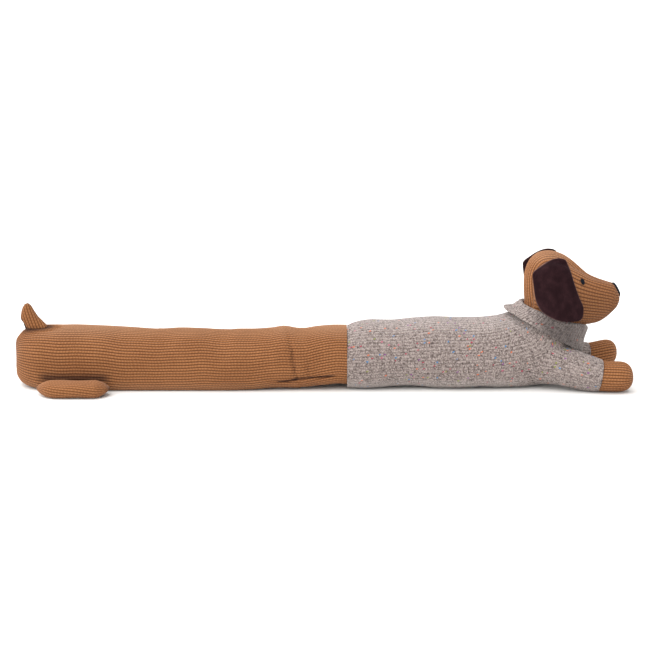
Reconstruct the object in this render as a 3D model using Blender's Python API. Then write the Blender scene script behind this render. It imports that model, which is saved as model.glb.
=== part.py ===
"""A draught excluder in the form of a long lying dog, as its sewn and filled pieces.

Sizes and places are in millimetres, and meshes are scaled to metres when their objects are made.
The dog's nose points along +X and its right side faces -Y. It lies on z = 0.
"""

import math
from collections import namedtuple

import bmesh
import bpy
import numpy as np
from mathutils import Matrix, Vector
from mathutils.bvhtree import BVHTree

MM = 0.001
GAP = 0.3
# Step along X that puts the middle of the whole dog's box over the origin
CENTRING_STEP = 4.25

# Knitted ribs
RIB_PITCH = 4.2
SNOUT_RIB_PITCH = 4.4
RIB_DEPTH = 0.9
EDGE_MARGIN = 0.35
# Points along a section's outline that are used to space its ribs evenly
OUTLINE_POINTS = 1441
POINTS_PER_SPAN = 4
LEAST_FULLNESS = 0.08

# Filled tubes
BODY_RIBS = 74
BODY_HALF_WIDTH = 50.0
BODY_HALF_HEIGHT = 44.0
JUMPER_POINTS = 44
WAIST_X = 32.0
CROWN_SQUARENESS = 2.3
NECK_POINT = (323.0, 91.0)
NECK_AXIS = (0.5, 0.866)

# Sections of the hind body, from the seat to the waist: belly and back are heights
HindSection = namedtuple("HindSection", "x belly back half_width belly_squareness")
HIND_SECTIONS = (
    (-452.0, 24.0, 62.0, 3.0, 2.4),
    (-450.5, 15.0, 67.5, 13.0, 2.6),
    (-446.5, 8.5, 74.0, 23.0, 2.8),
    (-440.5, 4.0, 80.0, 32.5, 3.2),
    (-430.0, 0.5, 84.8, 41.5, 3.8),
    (-412.0, -1.5, 87.2, 48.0, 4.8),
    (-380.0, -2.0, 87.8, 50.6, 6.0),
    (-329.0, -2.0, 87.0, 51.0, 6.4),
    (-280.0, -2.0, 84.0, 51.0, 6.4),
    (-241.0, -2.0, 81.6, 50.8, 6.4),
    (-165.0, -2.0, 82.6, 50.8, 6.4),
    (-90.0, -2.0, 82.6, 50.8, 6.0),
    (-66.0, -2.0, 85.2, 51.0, 5.6),
    (-45.0, -2.0, 83.6, 49.2, 5.0),
    (-29.0, -2.0, 82.3, 49.8, 4.6),
    (-6.0, -2.0, 85.4, 49.8, 3.8),
    (14.0, -1.8, 86.8, 50.0, 3.3),
    (WAIST_X - GAP / 2, -1.5, 86.8, 49.8, 3.0),
)

# Sections of the jumper's body, from the waist round the chest to the neck
JumperSection = namedtuple("JumperSection", "back_x back_z belly_x belly_z half_width belly_squareness")
JUMPER_SECTIONS = (
    (WAIST_X + GAP / 2, 86.8, WAIST_X + GAP / 2, -1.5, 49.8, 3.0),
    (40.0, 90.0, 40.0, -1.5, 51.4, 2.7),
    (54.0, 93.2, 54.0, -1.5, 52.0, 2.6),
    (80.0, 96.0, 80.0, -1.5, 52.0, 2.5),
    (130.0, 98.0, 130.0, -1.5, 51.5, 2.5),
    (183.0, 99.2, 183.0, -1.5, 51.0, 2.5),
    (225.0, 100.6, 225.0, -1.5, 51.0, 2.5),
    (248.0, 102.2, 250.0, -1.5, 51.0, 2.5),
    (259.0, 104.0, 285.0, -1.2, 51.0, 2.4),
    (267.0, 105.8, 312.0, 1.0, 50.5, 2.3),
    (273.0, 107.6, 334.0, 7.0, 49.6, 2.2),
    (278.0, 109.4, 349.0, 20.0, 48.2, 2.1),
    (281.6, 111.0, 357.5, 37.0, 46.4, 2.1),
    (283.8, 112.4, 360.8, 54.0, 44.2, 2.0),
    (285.3, 112.8, 360.7, 69.2, 42.0, 2.0),
)

# Fore legs, from inside the chest to the cuff, with y as the distance from the middle
SLEEVE_POINTS = 28
CUTTER_SWELL = 0.4
LegSection = namedtuple("LegSection", "x y z half_width half_height")
SLEEVE_SECTIONS = (
    (316.0, 22.0, 37.0, 22.0, 24.0),
    (345.0, 33.0, 32.0, 26.0, 28.4),
    (366.0, 39.0, 28.6, 25.5, 28.0),
    (382.0, 42.5, 25.5, 24.0, 25.8),
    (396.2, 45.0, 22.7, 22.6, 22.9),
)
CUFF_TILT = math.radians(9.0)
PAW_RIBS = 32
PAW_LENGTH = 47.0
PAW_RADIUS = 22.0
PAW_BLUNTNESS = 4.4
PAW_STEPS = (0.0, 0.3, 0.56, 0.75, 0.88, 0.955, 0.99)
LEFT_LEG_SPREAD = 7.0
LEFT_LEG_LIFT = 8.0
LEFT_LEG_YAW = math.radians(12.0)
# How far the axis of a paw runs outwards and sinks from its cuff to its tip
PAW_DRIFT = 2.0
PAW_DROP = 1.6
PAW_ROUNDNESS = 2.2

# Flat stuffed pieces, as outlines in the plane that they are cut in
FOOT_OUTLINE = (
    (-413.5, 66.0), (-407.0, 79.0), (-394.0, 91.0), (-378.0, 95.0), (-340.0, 95.0), (-322.0, 92.0),
    (-310.0, 79.0), (-307.5, 67.0), (-313.0, 58.5), (-326.0, 53.0), (-345.0, 49.9), (-372.0, 49.9),
    (-396.0, 52.6), (-409.0, 58.5),
)
FOOT_HALF_THICKNESS = 11.2
FOOT_MIDDLE_Z = 10.2
TAIL_OUTLINE = (
    (-430.0, 74.0), (-436.5, 90.0), (-442.6, 98.5), (-442.0, 109.0), (-438.5, 118.0), (-433.5, 121.8),
    (-428.0, 119.0), (-423.5, 111.0), (-418.0, 102.5), (-410.5, 94.5), (-403.5, 86.0), (-402.0, 74.0),
)
TAIL_HALF_THICKNESS = 9.5
TAIL_LEAN = math.radians(108.0)
TAIL_Y = -6.0
TAIL_SEAT = (-433.0, 85.04)
TAIL_SEAT_SLOPES = (0.115, 0.12)

# Head, in the plane of symmetry, from the tip of the nose over the crown to the nape and the chin
HEAD_OUTLINE = (
    (428.8, 130.5), (427.0, 138.4), (421.8, 147.4), (418.2, 150.4), (408.0, 153.8), (393.0, 159.0),
    (380.0, 165.5), (366.0, 177.5), (355.0, 186.5), (344.0, 193.0), (333.0, 196.8), (323.0, 197.8),
    (312.0, 196.0), (304.0, 191.5), (297.0, 184.0), (292.0, 173.0), (289.5, 160.0), (289.3, 145.0),
    (290.0, 132.0), (290.8, 122.0), (288.5, 115.0), (286.0, 104.0), (290.0, 80.0), (308.0, 60.0),
    (335.0, 55.0), (352.0, 58.0), (361.0, 70.0), (365.5, 80.0), (373.0, 87.8), (385.0, 89.9),
    (399.0, 93.2), (410.0, 100.0), (419.5, 109.0), (425.0, 115.5), (427.6, 122.5),
)
HEAD_TOP_COUNT = 24
CHIN_LINE = ((428.8, 130.5), (335.0, 55.0))
GUSSET_HALF_WIDTH_AT_CHIN = 2.4
GUSSET_SPREAD = 0.158
GUSSET_CROWN = 0.16
GUSSET_COLUMNS = 11
HEAD_FULLNESS = (
    (285.0, 17.2), (300.0, 25.9), (325.0, 33.0), (340.0, 32.0),
    (360.0, 27.5), (385.0, 21.5), (405.0, 18.5), (430.0, 17.0),
)
SNOUT_SLOPE = math.radians(-10.0)

EAR_OUTLINE = (
    (297.5, 172.5), (306.0, 180.0), (318.0, 188.0), (329.0, 192.0), (338.0, 192.0), (343.5, 190.0),
    (346.5, 185.5), (350.5, 175.0), (356.0, 158.0), (364.0, 137.0), (370.0, 124.0), (370.6, 115.0),
    (368.8, 107.0), (363.0, 103.8), (351.0, 103.2), (336.0, 104.8), (323.0, 109.2), (311.0, 116.2),
    (304.5, 125.0), (301.0, 135.0), (298.5, 152.0), (296.8, 165.0),
)
LEFT_EAR_SHIFT = (-3.5, 2.2)
EAR_HALF_THICKNESS = 2.3
EAR_CLEARANCE = {-1: 1.0, 1: 5.0}
EAR_BOTTOM_FLARE = 8.0
EAR_FLARE_HEIGHT = 45.0
EAR_ROW_STEP = 5.2
EAR_COLUMNS = 8
EYE_PLACE = (369.2, 158.0)
EYE_HALF_SIZE = (2.8, 4.1, 1.5)
EYE_LEAN = (-0.3, 0.95)
EYE_CLEARANCE = 0.4
NoseRow = namedtuple("NoseRow", "x z half_width")
NOSE_ROWS = (
    (417.0, 152.0, 4.6), (420.5, 150.2, 7.8), (425.0, 145.5, 9.2),
    (428.0, 139.8, 8.6), (429.6, 135.5, 6.8), (430.0, 132.3, 3.5),
)
NOSE_THICKNESS = 1.2
NOSE_CLEARANCE = 0.8
NOSE_EDGE_SHARE = 0.45
NOSE_SPLAY = 0.55
NOSE_STITCH_COLUMNS = 11
NOSE_STITCH_ROWS = 13

# Collar rings in the plane of symmetry: middle, tilt of the long axis, half length, half width, side lift
COLLAR_CLOTH = 3.0
COLLAR_LAYER_SPACING = 4.8
COLLAR_STATIONS = 36
COLLAR_SQUARENESS = 2.4
CollarRing = namedtuple("CollarRing", "x z tilt half_length half_width side_lift")
COLLAR_ROOT = CollarRing(323.3, 91.6, math.radians(30.0), 45.2, 43.8, 0.0)
COLLAR_FOLD = CollarRing(332.2, 102.2, math.radians(21.9), 50.0, 48.0, 2.0)
COLLAR_HEM = CollarRing(316.8, 82.8, math.radians(29.7), 60.0, 51.8, 4.0)

FINISHES = {
    "rib_knit": ((0.37, 0.15, 0.065), 0.9),
    "tweed_knit": ((0.36, 0.3, 0.27), 0.95),
    "velvet": ((0.045, 0.02, 0.018), 0.8),
    "dark_thread": ((0.006, 0.007, 0.012), 0.45),
}


def clear_scene():
    """Removes every object of the scene."""
    for obj in list(bpy.data.objects):
        bpy.data.objects.remove(obj, do_unlink=True)


def make_object(name, bm, finish):
    """Turns a closed bmesh in millimetres into the named object in metres, with its own material."""
    bmesh.ops.recalc_face_normals(bm, faces=bm.faces)
    bm.transform(Matrix.Scale(MM, 4) @ Matrix.Translation((CENTRING_STEP, 0.0, 0.0)))
    mesh = bpy.data.meshes.new(name)
    bm.to_mesh(mesh)
    bm.free()
    mesh.shade_smooth()
    mesh.set_sharp_from_angle(angle=math.radians(50.0))
    colour, roughness = FINISHES[finish]
    material = bpy.data.materials.new(name)
    material.use_nodes = True
    shader = material.node_tree.nodes["Principled BSDF"]
    shader.inputs["Base Color"].default_value = (*colour, 1.0)
    shader.inputs["Roughness"].default_value = roughness
    shader.inputs["Metallic"].default_value = 0.0
    mesh.materials.append(material)
    obj = bpy.data.objects.new(name, mesh)
    bpy.context.scene.collection.objects.link(obj)
    return obj


def smooth_closed(points, per_span=POINTS_PER_SPAN):
    """A closed Catmull-Rom curve through the points."""
    points = np.array(points, float)
    curve = []
    for i in range(len(points)):
        a, b, c, d = (points[(i + k) % len(points)] for k in (-1, 0, 1, 2))
        linear = c - a
        square = 2 * a - 5 * b + 4 * c - d
        cube = 3 * b - a - 3 * c + d
        for t in np.arange(per_span) / per_span:
            curve.append(0.5 * (2 * b + linear * t + square * t**2 + cube * t**3))
    return np.array(curve)


def outward_normals(curve):
    """Unit normals of a closed curve that runs anticlockwise, pointing out of it."""
    along = np.roll(curve, -1, axis=0) - np.roll(curve, 1, axis=0)
    along /= np.linalg.norm(along, axis=1)[:, None]
    return np.stack([along[:, 1], -along[:, 0]], axis=1)


def unit_section(count, aspect, belly_squareness):
    """Points (across, up) of a section from -1 to 1 each way, evenly spaced along its outline."""
    angle = np.linspace(0.0, 2.0 * math.pi, OUTLINE_POINTS)
    squareness = np.where(np.sin(angle) < 0.0, belly_squareness, CROWN_SQUARENESS)
    across = np.sign(np.cos(angle)) * np.abs(np.cos(angle)) ** (2.0 / squareness)
    up = np.sign(np.sin(angle)) * np.abs(np.sin(angle)) ** (2.0 / squareness)
    steps = np.hypot(np.diff(across) * aspect, np.diff(up))
    length = np.concatenate([[0.0], np.cumsum(steps)])
    places = np.arange(count) / count * length[-1]
    return np.interp(places, length, across), np.interp(places, length, up)


def body_ring(back, belly, half_width, section, rib_depth=0.0):
    """Points of one section that leans from its belly point to its back point, flat on the floor."""
    back, belly = np.array(back, float), np.array(belly, float)
    middle, half = (back + belly) / 2.0, (back - belly) / 2.0
    across, up = section
    groove = np.where(np.arange(len(across)) % 2 == 1, rib_depth, 0.0)
    wide = across * half_width * (1.0 - groove / BODY_HALF_WIDTH)
    tall = up * (1.0 - groove / BODY_HALF_HEIGHT)
    ring = np.stack([middle[0] + tall * half[0], wide, middle[1] + tall * half[1]], axis=1)
    ring[:, 2] = np.maximum(ring[:, 2], 0.0)
    return ring


def loft(rings):
    """A closed solid through rings with the same number of points, with a flat cap at each end."""
    bm = bmesh.new()
    rows = [[bm.verts.new(point) for point in ring] for ring in rings]
    count = len(rows[0])
    for first, second in zip(rows, rows[1:]):
        for i in range(count):
            j = (i + 1) % count
            bm.faces.new((first[i], first[j], second[j], second[i]))
    bm.faces.new(rows[0])
    bm.faces.new(rows[-1])
    return bm


def cut(bm, point, normal):
    """Cuts off what lies beyond the plane, on its normal's side, and closes the cut."""
    parts = bm.verts[:] + bm.edges[:] + bm.faces[:]
    found = bmesh.ops.bisect_plane(
        bm, geom=parts, dist=1e-4, plane_co=point, plane_no=normal, clear_outer=True
    )
    edges = [part for part in found["geom_cut"] if isinstance(part, bmesh.types.BMEdge)]
    bmesh.ops.edgeloop_fill(bm, edges=edges)
    return bm


def span(outline, axis, value):
    """Lowest and highest place, along the other axis, where the outline crosses a line."""
    start, end = outline, np.roll(outline, -1, axis=0)
    low, high = start[:, axis] - value, end[:, axis] - value
    crossing = (low <= 0.0) != (high <= 0.0)
    share = low[crossing] / (low[crossing] - high[crossing])
    other = 1 - axis
    places = start[crossing, other] + share * (end[crossing, other] - start[crossing, other])
    return places.min(), places.max()


def turned(points, angle):
    """Points of a plane, turned so that a line at the angle comes to lie level."""
    c, s = math.cos(angle), math.sin(angle)
    return points @ np.array([[c, -s], [s, c]])


class Panel:
    """A stuffed flat-cut piece: an outline and rows of points along its ribs."""

    def __init__(self, outline, rib_angle, row_step, columns):
        self.angle = rib_angle
        self.outline = turned(np.array(outline, float), rib_angle)
        low, high = self.outline[:, 1].min(), self.outline[:, 1].max()
        count = round((high - low - 2.0 * EDGE_MARGIN) / row_step) + 1
        self.rows = np.linspace(low + EDGE_MARGIN, high - EDGE_MARGIN, count)
        self.columns = 0.5 - 0.5 * np.cos(math.pi * np.arange(columns + 1) / columns)

    def fullness(self, point):
        """How full the piece is at a point of its plane: 0 at its edge and 1 in its middle."""
        along, over = turned(np.array(point, float), self.angle)
        if not self.outline[:, 1].min() < over < self.outline[:, 1].max():
            return 0.0
        if not self.outline[:, 0].min() < along < self.outline[:, 0].max():
            return 0.0
        first, last = span(self.outline, 1, over)
        low, high = span(self.outline, 0, along)
        s = (2.0 * along - first - last) / (last - first)
        t = (2.0 * over - low - high) / (high - low)
        return (max(1.0 - s * s, 0.0) * max(1.0 - t * t, 0.0)) ** 0.25

    def points(self):
        """For each row: the points (u, v, fullness, in a groove)."""
        for number, over in enumerate(self.rows):
            first, last = span(self.outline, 1, over)
            row = []
            for share in self.columns:
                point = turned(np.array([first + (last - first) * share, over]), -self.angle)
                edge = number in (0, len(self.rows) - 1) or share in (0.0, 1.0)
                fullness = 0.0 if edge else max(self.fullness(point), LEAST_FULLNESS)
                row.append((point[0], point[1], fullness, number % 2 == 1))
            yield row

    def solid(self, front, back=None):
        """A closed bmesh from front(u, v, fullness, groove) and back(...), or with a flat back."""
        bm = bmesh.new()
        tables = list(self.points())
        rows = [[bm.verts.new(front(*p)) for p in row] for row in tables]
        last = len(self.columns) - 1
        grids = [rows]
        if back:
            under = []
            for r, row in enumerate(tables):
                inside = [0 < r < len(tables) - 1 and 0 < c < last for c in range(last + 1)]
                under.append(
                    [bm.verts.new(back(*row[c])) if inside[c] else rows[r][c] for c in range(last + 1)]
                )
            grids.append(under)
        for grid in grids:
            for lower, upper in zip(grid, grid[1:]):
                for c in range(last):
                    bm.faces.new((lower[c], lower[c + 1], upper[c + 1], upper[c]))
        if not back:
            front_rim = rows[0] + [row[last] for row in rows[1:-1]]
            rear_rim = rows[-1][::-1] + [row[0] for row in rows[-2:0:-1]]
            bm.faces.new(front_rim + rear_rim)
        return bm


def tube_pieces():
    """The ribbed hind body and the jumper's body, which meet at the waist."""
    rings = []
    for row in map(HindSection._make, HIND_SECTIONS):
        section = unit_section(2 * BODY_RIBS, BODY_HALF_WIDTH / BODY_HALF_HEIGHT, row.belly_squareness)
        rings.append(body_ring((row.x, row.back), (row.x, row.belly), row.half_width, section, RIB_DEPTH))
    hind = loft(rings)
    rings = []
    for row in map(JumperSection._make, JUMPER_SECTIONS):
        section = unit_section(JUMPER_POINTS, 1.0, row.belly_squareness)
        back, belly = (row.back_x, row.back_z), (row.belly_x, row.belly_z)
        rings.append(body_ring(back, belly, row.half_width, section))
    return hind, loft(rings)


def leg_ring(centre, half_width, half_height, count, tilt, yaw, grooves=0.0):
    """A section of a fore leg, leaning forwards by its tilt and turned outwards by its yaw."""
    angle = 2.0 * math.pi * np.arange(count) / count
    reach = np.where(np.arange(count) % 2 == 1, 1.0 - grooves / PAW_RADIUS, 1.0)
    across, up = half_width * reach * np.cos(angle), half_height * reach * np.sin(angle)
    ring = np.stack(
        [
            centre[0] + up * math.sin(tilt) - across * math.sin(yaw),
            centre[1] + across * math.cos(yaw),
            centre[2] + up * math.cos(tilt),
        ],
        axis=1,
    )
    ring[:, 2] = np.maximum(ring[:, 2], 0.0)
    return ring


def sleeve(side):
    """A sleeve that starts inside the chest. side is -1 for the right one and 1 for the left one."""
    rings = []
    sections = [LegSection(*row) for row in SLEEVE_SECTIONS]
    start, length = sections[0].x, sections[-1].x - sections[0].x
    for row in sections:
        share = (row.x - start) / length
        bend = share if side > 0 else 0.0
        centre = (
            row.x,
            side * (row.y + LEFT_LEG_SPREAD * bend),
            row.z + LEFT_LEG_LIFT * bend**3,
        )
        tilt, yaw = CUFF_TILT * share, LEFT_LEG_YAW * bend
        rings.append(leg_ring(centre, row.half_width, row.half_height, SLEEVE_POINTS, tilt, yaw))
    return loft(rings)


def paw(side):
    """A ribbed paw in front of its cuff, blunt at the tip."""
    cuff = LegSection(*SLEEVE_SECTIONS[-1])
    spread, lift, yaw = (LEFT_LEG_SPREAD, LEFT_LEG_LIFT, LEFT_LEG_YAW) if side > 0 else (0.0, 0.0, 0.0)
    rings = []
    for step in PAW_STEPS:
        size = PAW_RADIUS * (1.0 - step**PAW_BLUNTNESS) ** (1.0 / PAW_ROUNDNESS)
        centre = (
            cuff.x + GAP / math.cos(CUFF_TILT) + PAW_LENGTH * step,
            side * (cuff.y + spread + (PAW_DRIFT + PAW_LENGTH * math.tan(yaw)) * step),
            cuff.z + lift - PAW_DROP * step,
        )
        tilt = CUFF_TILT * (1.0 - step)
        rings.append(leg_ring(centre, size, size, 2 * PAW_RIBS, tilt, yaw, RIB_DEPTH * size / PAW_RADIUS))
    return loft(rings)


def foot(side):
    """A flat oval pad beside the body, flat where it lies."""
    panel = Panel(smooth_closed(FOOT_OUTLINE), 0.0, RIB_PITCH / 2.0, 9)

    def surface(direction):
        def place(u, v, fullness, groove):
            height = fullness * (FOOT_HALF_THICKNESS - (RIB_DEPTH if groove else 0.0))
            return (u, side * v, max(FOOT_MIDDLE_Z + direction * height, 0.0))

        return place

    return panel.solid(surface(1.0), surface(-1.0))


def tail():
    """A leaf-shaped stuffed piece with its ribs along it, cut to sit on the back."""
    panel = Panel(smooth_closed(TAIL_OUTLINE), TAIL_LEAN, RIB_PITCH / 2.0, 8)

    def surface(direction):
        def place(u, v, fullness, groove):
            height = fullness * (TAIL_HALF_THICKNESS - (RIB_DEPTH if groove else 0.0))
            return (u, TAIL_Y + direction * height, v)

        return place

    bm = panel.solid(surface(1.0), surface(-1.0))
    seat = Vector((TAIL_SEAT[0], TAIL_Y, TAIL_SEAT[1]))
    return cut(bm, seat, Vector((*TAIL_SEAT_SLOPES, -1.0)).normalized())


def gusset_half_width(x, z):
    """Half the gusset's width, which grows with the distance from the line of the chin."""
    (x0, z0), (x1, z1) = CHIN_LINE
    along = np.array([x1 - x0, z1 - z0]) / math.hypot(x1 - x0, z1 - z0)
    distance = (x - x0) * along[1] - (z - z0) * along[0]
    return GUSSET_HALF_WIDTH_AT_CHIN + GUSSET_SPREAD * distance


def head_curves():
    """The head's profile, its outward normals, and the seam's profile just inside it."""
    profile = smooth_closed(HEAD_OUTLINE)
    normals = outward_normals(profile)
    crown = np.array([max(gusset_half_width(x, z), 0.0) * GUSSET_CROWN for x, z in profile])
    return profile, normals, profile - normals * crown[:, None]


def head_panel():
    """The cut of a side panel, with its ribs along the snout."""
    return Panel(head_curves()[2], SNOUT_SLOPE, SNOUT_RIB_PITCH / 2.0, 9)


def head_half_width(x, z, fullness, groove_depth=0.0):
    """Distance from the middle to the outer face of a side panel."""
    places, sizes = zip(*HEAD_FULLNESS)
    return gusset_half_width(x, z) + fullness * (np.interp(x, places, sizes) - groove_depth)


def neck_plane():
    """A point and the normal of the plane that the head is cut at, just above the chest's end."""
    axis = Vector((NECK_AXIS[0], 0.0, NECK_AXIS[1]))
    return Vector((NECK_POINT[0], 0.0, NECK_POINT[1])) + GAP * axis, -axis


def head_side(side, rib_depth):
    """A side panel of the head with its part of the filling, from the gusset's wall outwards."""

    def place(u, v, fullness, groove):
        return (u, side * head_half_width(u, v, fullness, rib_depth if groove else 0.0), v)

    return cut(head_panel().solid(place), *neck_plane())


def head_gusset(rib_depth):
    """The strip from the nose over the crown to the nape, as a wedge between the side panels."""
    profile, normals, seams = head_curves()
    top = slice(0, POINTS_PER_SPAN * HEAD_TOP_COUNT + 1, 2)
    columns = range(-GUSSET_COLUMNS, GUSSET_COLUMNS + 1)
    bm = bmesh.new()
    rows = []
    for (x, z), (nx, nz), (seam_x, seam_z) in zip(profile[top], normals[top], seams[top]):
        edge = gusset_half_width(seam_x, seam_z) - GAP
        drop = math.hypot(x - seam_x, z - seam_z)
        row = []
        for column in columns:
            across = min(max(column * SNOUT_RIB_PITCH / 2.0, -edge), edge)
            at_edge = abs(across) >= edge - 0.02
            sink = drop * (across / edge) ** 2
            if column % 2 and not at_edge:
                sink += rib_depth
            row.append(bm.verts.new((x - nx * sink, across, z - nz * sink)))
        rows.append(row)
    for first, second in zip(rows, rows[1:]):
        for i in range(len(columns) - 1):
            bm.faces.new((first[i], first[i + 1], second[i + 1], second[i]))
    bm.faces.new([row[0] for row in rows])
    bm.faces.new([row[-1] for row in rows])
    bm.faces.new(rows[0] + rows[-1][::-1])
    bmesh.ops.remove_doubles(bm, verts=bm.verts, dist=0.01)
    bmesh.ops.dissolve_degenerate(bm, edges=bm.edges, dist=0.005)
    return cut(bm, *neck_plane())


def ear(side):
    """A flap that lies on the side of the head and hangs straight down from its widest place."""
    shift = np.array(LEFT_EAR_SHIFT if side > 0 else (0.0, 0.0))
    outline = smooth_closed(EAR_OUTLINE) + shift
    panel = Panel(outline, 0.0, EAR_ROW_STEP, EAR_COLUMNS)
    head = head_panel()
    bottom, top = outline[:, 1].min(), outline[:, 1].max()

    def middle(x, z):
        heights = np.append(np.arange(z, top, 3.0), z)
        widest = max(head_half_width(x, height, head.fullness((x, height))) for height in heights)
        flare = EAR_BOTTOM_FLARE * max(0.0, 1.0 - (z - bottom) / EAR_FLARE_HEIGHT) ** 1.5
        return widest + flare + EAR_CLEARANCE[side] + EAR_HALF_THICKNESS

    def surface(direction):
        def place(u, v, fullness, _groove):
            return (u, side * (middle(u, v) + direction * EAR_HALF_THICKNESS * fullness), v)

        return place

    return panel.solid(surface(1.0), surface(-1.0))


def collar_ring(ring, angle, offset, rise=0.0):
    """A point of the collar at an angle round the neck, 0 at the throat, moved outwards and upwards."""
    power = 2.0 / COLLAR_SQUARENESS
    cosine, sine = math.cos(angle), math.sin(angle)
    along = (ring.half_length + offset) * math.copysign(abs(cosine) ** power, cosine)
    across = (ring.half_width + offset) * math.copysign(abs(sine) ** power, sine)
    forwards = along * math.cos(ring.tilt) + rise * math.sin(ring.tilt)
    upwards = rise * math.cos(ring.tilt) - along * math.sin(ring.tilt)
    return np.array([ring.x + forwards, across, ring.z + upwards + ring.side_lift * sine**2])


def collar():
    """One folded band: its inner layer rises from the neck, turns over and comes down outside."""
    half = COLLAR_CLOTH / 2.0
    spacing = COLLAR_LAYER_SPACING / 2.0
    outside = spacing + half
    rings = []
    for station in range(COLLAR_STATIONS):
        angle = 2.0 * math.pi * station / COLLAR_STATIONS

        def inner(share, offset):
            low = collar_ring(COLLAR_ROOT, angle, offset)
            high = collar_ring(COLLAR_FOLD, angle, offset - spacing)
            return low + (high - low) * share

        def outer(share, offset):
            high = collar_ring(COLLAR_FOLD, angle, offset + spacing)
            low = collar_ring(COLLAR_HEM, angle, offset)
            return high + (low - high) * share

        def fold(radius, turn):
            return collar_ring(COLLAR_FOLD, angle, -radius * math.cos(turn), radius * math.sin(turn))

        rings.append(
            [inner(share, -half) for share in (0.0, 0.5, 1.0)]
            + [fold(outside, math.radians(turn)) for turn in (45.0, 90.0, 135.0)]
            + [outer(share, half) for share in (0.0, 0.35, 0.7, 1.0)]
            + [outer(share, -half) for share in (1.0, 0.7, 0.35, 0.0)]
            + [fold(spacing - half, math.radians(90.0))]
            + [inner(share, half) for share in (1.0, 0.5, 0.0)]
        )
    bm = bmesh.new()
    rows = [[bm.verts.new(point) for point in ring] for ring in rings]
    count = len(rows[0])
    for k, first in enumerate(rows):
        second = rows[(k + 1) % len(rows)]
        for i in range(count):
            j = (i + 1) % count
            bm.faces.new((first[i], first[j], second[j], second[i]))
    return bm


def dome(centre, normal, half_size, long_side, points=16):
    """A low oval dome on a flat back, with its long side as near to long_side as it can be."""
    bm = bmesh.new()
    tall = (long_side - normal * long_side.dot(normal)).normalized()
    wide = tall.cross(normal)
    rows = []
    for level in (0.0, 0.5, 0.85):
        reach, height = math.cos(level * math.pi / 2.0), math.sin(level * math.pi / 2.0)
        row = []
        for i in range(points):
            angle = 2.0 * math.pi * i / points
            a, b = half_size[0] * reach * math.cos(angle), half_size[1] * reach * math.sin(angle)
            row.append(bm.verts.new(centre + a * wide + b * tall + half_size[2] * height * normal))
        rows.append(row)
    for first, second in zip(rows, rows[1:]):
        for i in range(points):
            j = (i + 1) % points
            bm.faces.new((first[i], first[j], second[j], second[i]))
    bm.faces.new(rows[0])
    bm.faces.new(rows[-1])
    return bm


def eye(side):
    """A small stitched oval on the side panel."""
    panel = head_panel()
    x, z = EYE_PLACE
    step = 2.0

    def width(u, v):
        return head_half_width(u, v, panel.fullness((u, v)))

    slope_x = (width(x + step, z) - width(x - step, z)) / (2.0 * step)
    slope_z = (width(x, z + step) - width(x, z - step)) / (2.0 * step)
    normal = Vector((-slope_x, side, -slope_z)).normalized()
    centre = Vector((x, side * width(x, z), z)) + normal * EYE_CLEARANCE
    return dome(centre, normal, EYE_HALF_SIZE, Vector((EYE_LEAN[0], 0.0, EYE_LEAN[1])))


def nose():
    """A patch of laid thread that follows the blunt tip of the snout."""
    head = bmesh.new()
    for piece in (head_side(-1, 0.0), head_gusset(0.0), head_side(1, 0.0)):
        mesh = bpy.data.meshes.new("guide")
        piece.to_mesh(mesh)
        piece.free()
        head.from_mesh(mesh)
        bpy.data.meshes.remove(mesh)
    tree = BVHTree.FromBMesh(head)
    head.free()
    shares = np.linspace(-1.0, 1.0, NOSE_STITCH_COLUMNS)
    places = np.linspace(0.0, len(NOSE_ROWS) - 1.0, NOSE_STITCH_ROWS)
    known = range(len(NOSE_ROWS))
    columns = [np.interp(places, known, column) for column in zip(*NOSE_ROWS)]
    table = [NoseRow(*row) for row in zip(*columns)]
    rows = len(table)
    outer, inner = [], []
    bm = bmesh.new()
    for number, place in enumerate(table):
        before, after = table[max(number - 1, 0)], table[min(number + 1, rows - 1)]
        along = Vector((after.x - before.x, 0.0, after.z - before.z)).normalized()
        outwards = Vector((-along.z, 0.0, along.x))
        over, under = [], []
        for share in shares:
            direction = (outwards + Vector((0.0, NOSE_SPLAY * share, 0.0))).normalized()
            start = Vector((place.x, place.half_width * share, place.z)) + direction * 20.0
            hit = tree.ray_cast(start, -direction)[0]
            edge = number in (0, rows - 1) or abs(share) == 1.0
            thick = NOSE_THICKNESS * (NOSE_EDGE_SHARE if edge else 1.0)
            under.append(bm.verts.new(hit + direction * NOSE_CLEARANCE))
            over.append(bm.verts.new(hit + direction * (NOSE_CLEARANCE + thick)))
        inner.append(under)
        outer.append(over)
    last = len(shares) - 1
    for grid in (inner, outer):
        for first, second in zip(grid, grid[1:]):
            for i in range(last):
                bm.faces.new((first[i], first[i + 1], second[i + 1], second[i]))
    for low, high in ((inner[0], outer[0]), (inner[-1], outer[-1])):
        for i in range(last):
            bm.faces.new((low[i], low[i + 1], high[i + 1], high[i]))
    for side in (0, last):
        for r in range(rows - 1):
            bm.faces.new((inner[r][side], inner[r + 1][side], outer[r + 1][side], outer[r][side]))
    return bm


def subtract(obj, cutter_bm, name):
    """Takes a helper solid off an object with an exact Boolean."""
    cutter = make_object(name, cutter_bm, "tweed_knit")
    cutter.hide_render = True
    cutter.display_type = "WIRE"
    modifier = obj.modifiers.new("trim", "BOOLEAN")
    modifier.operation = "DIFFERENCE"
    modifier.solver = "EXACT"
    modifier.object = cutter


def swollen(bm, amount):
    """The same solid with its skin moved outwards."""
    bmesh.ops.recalc_face_normals(bm, faces=bm.faces)
    bm.normal_update()
    moves = [vertex.normal * amount for vertex in bm.verts]
    for vertex, move in zip(bm.verts, moves):
        vertex.co += move
    return bm


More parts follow.
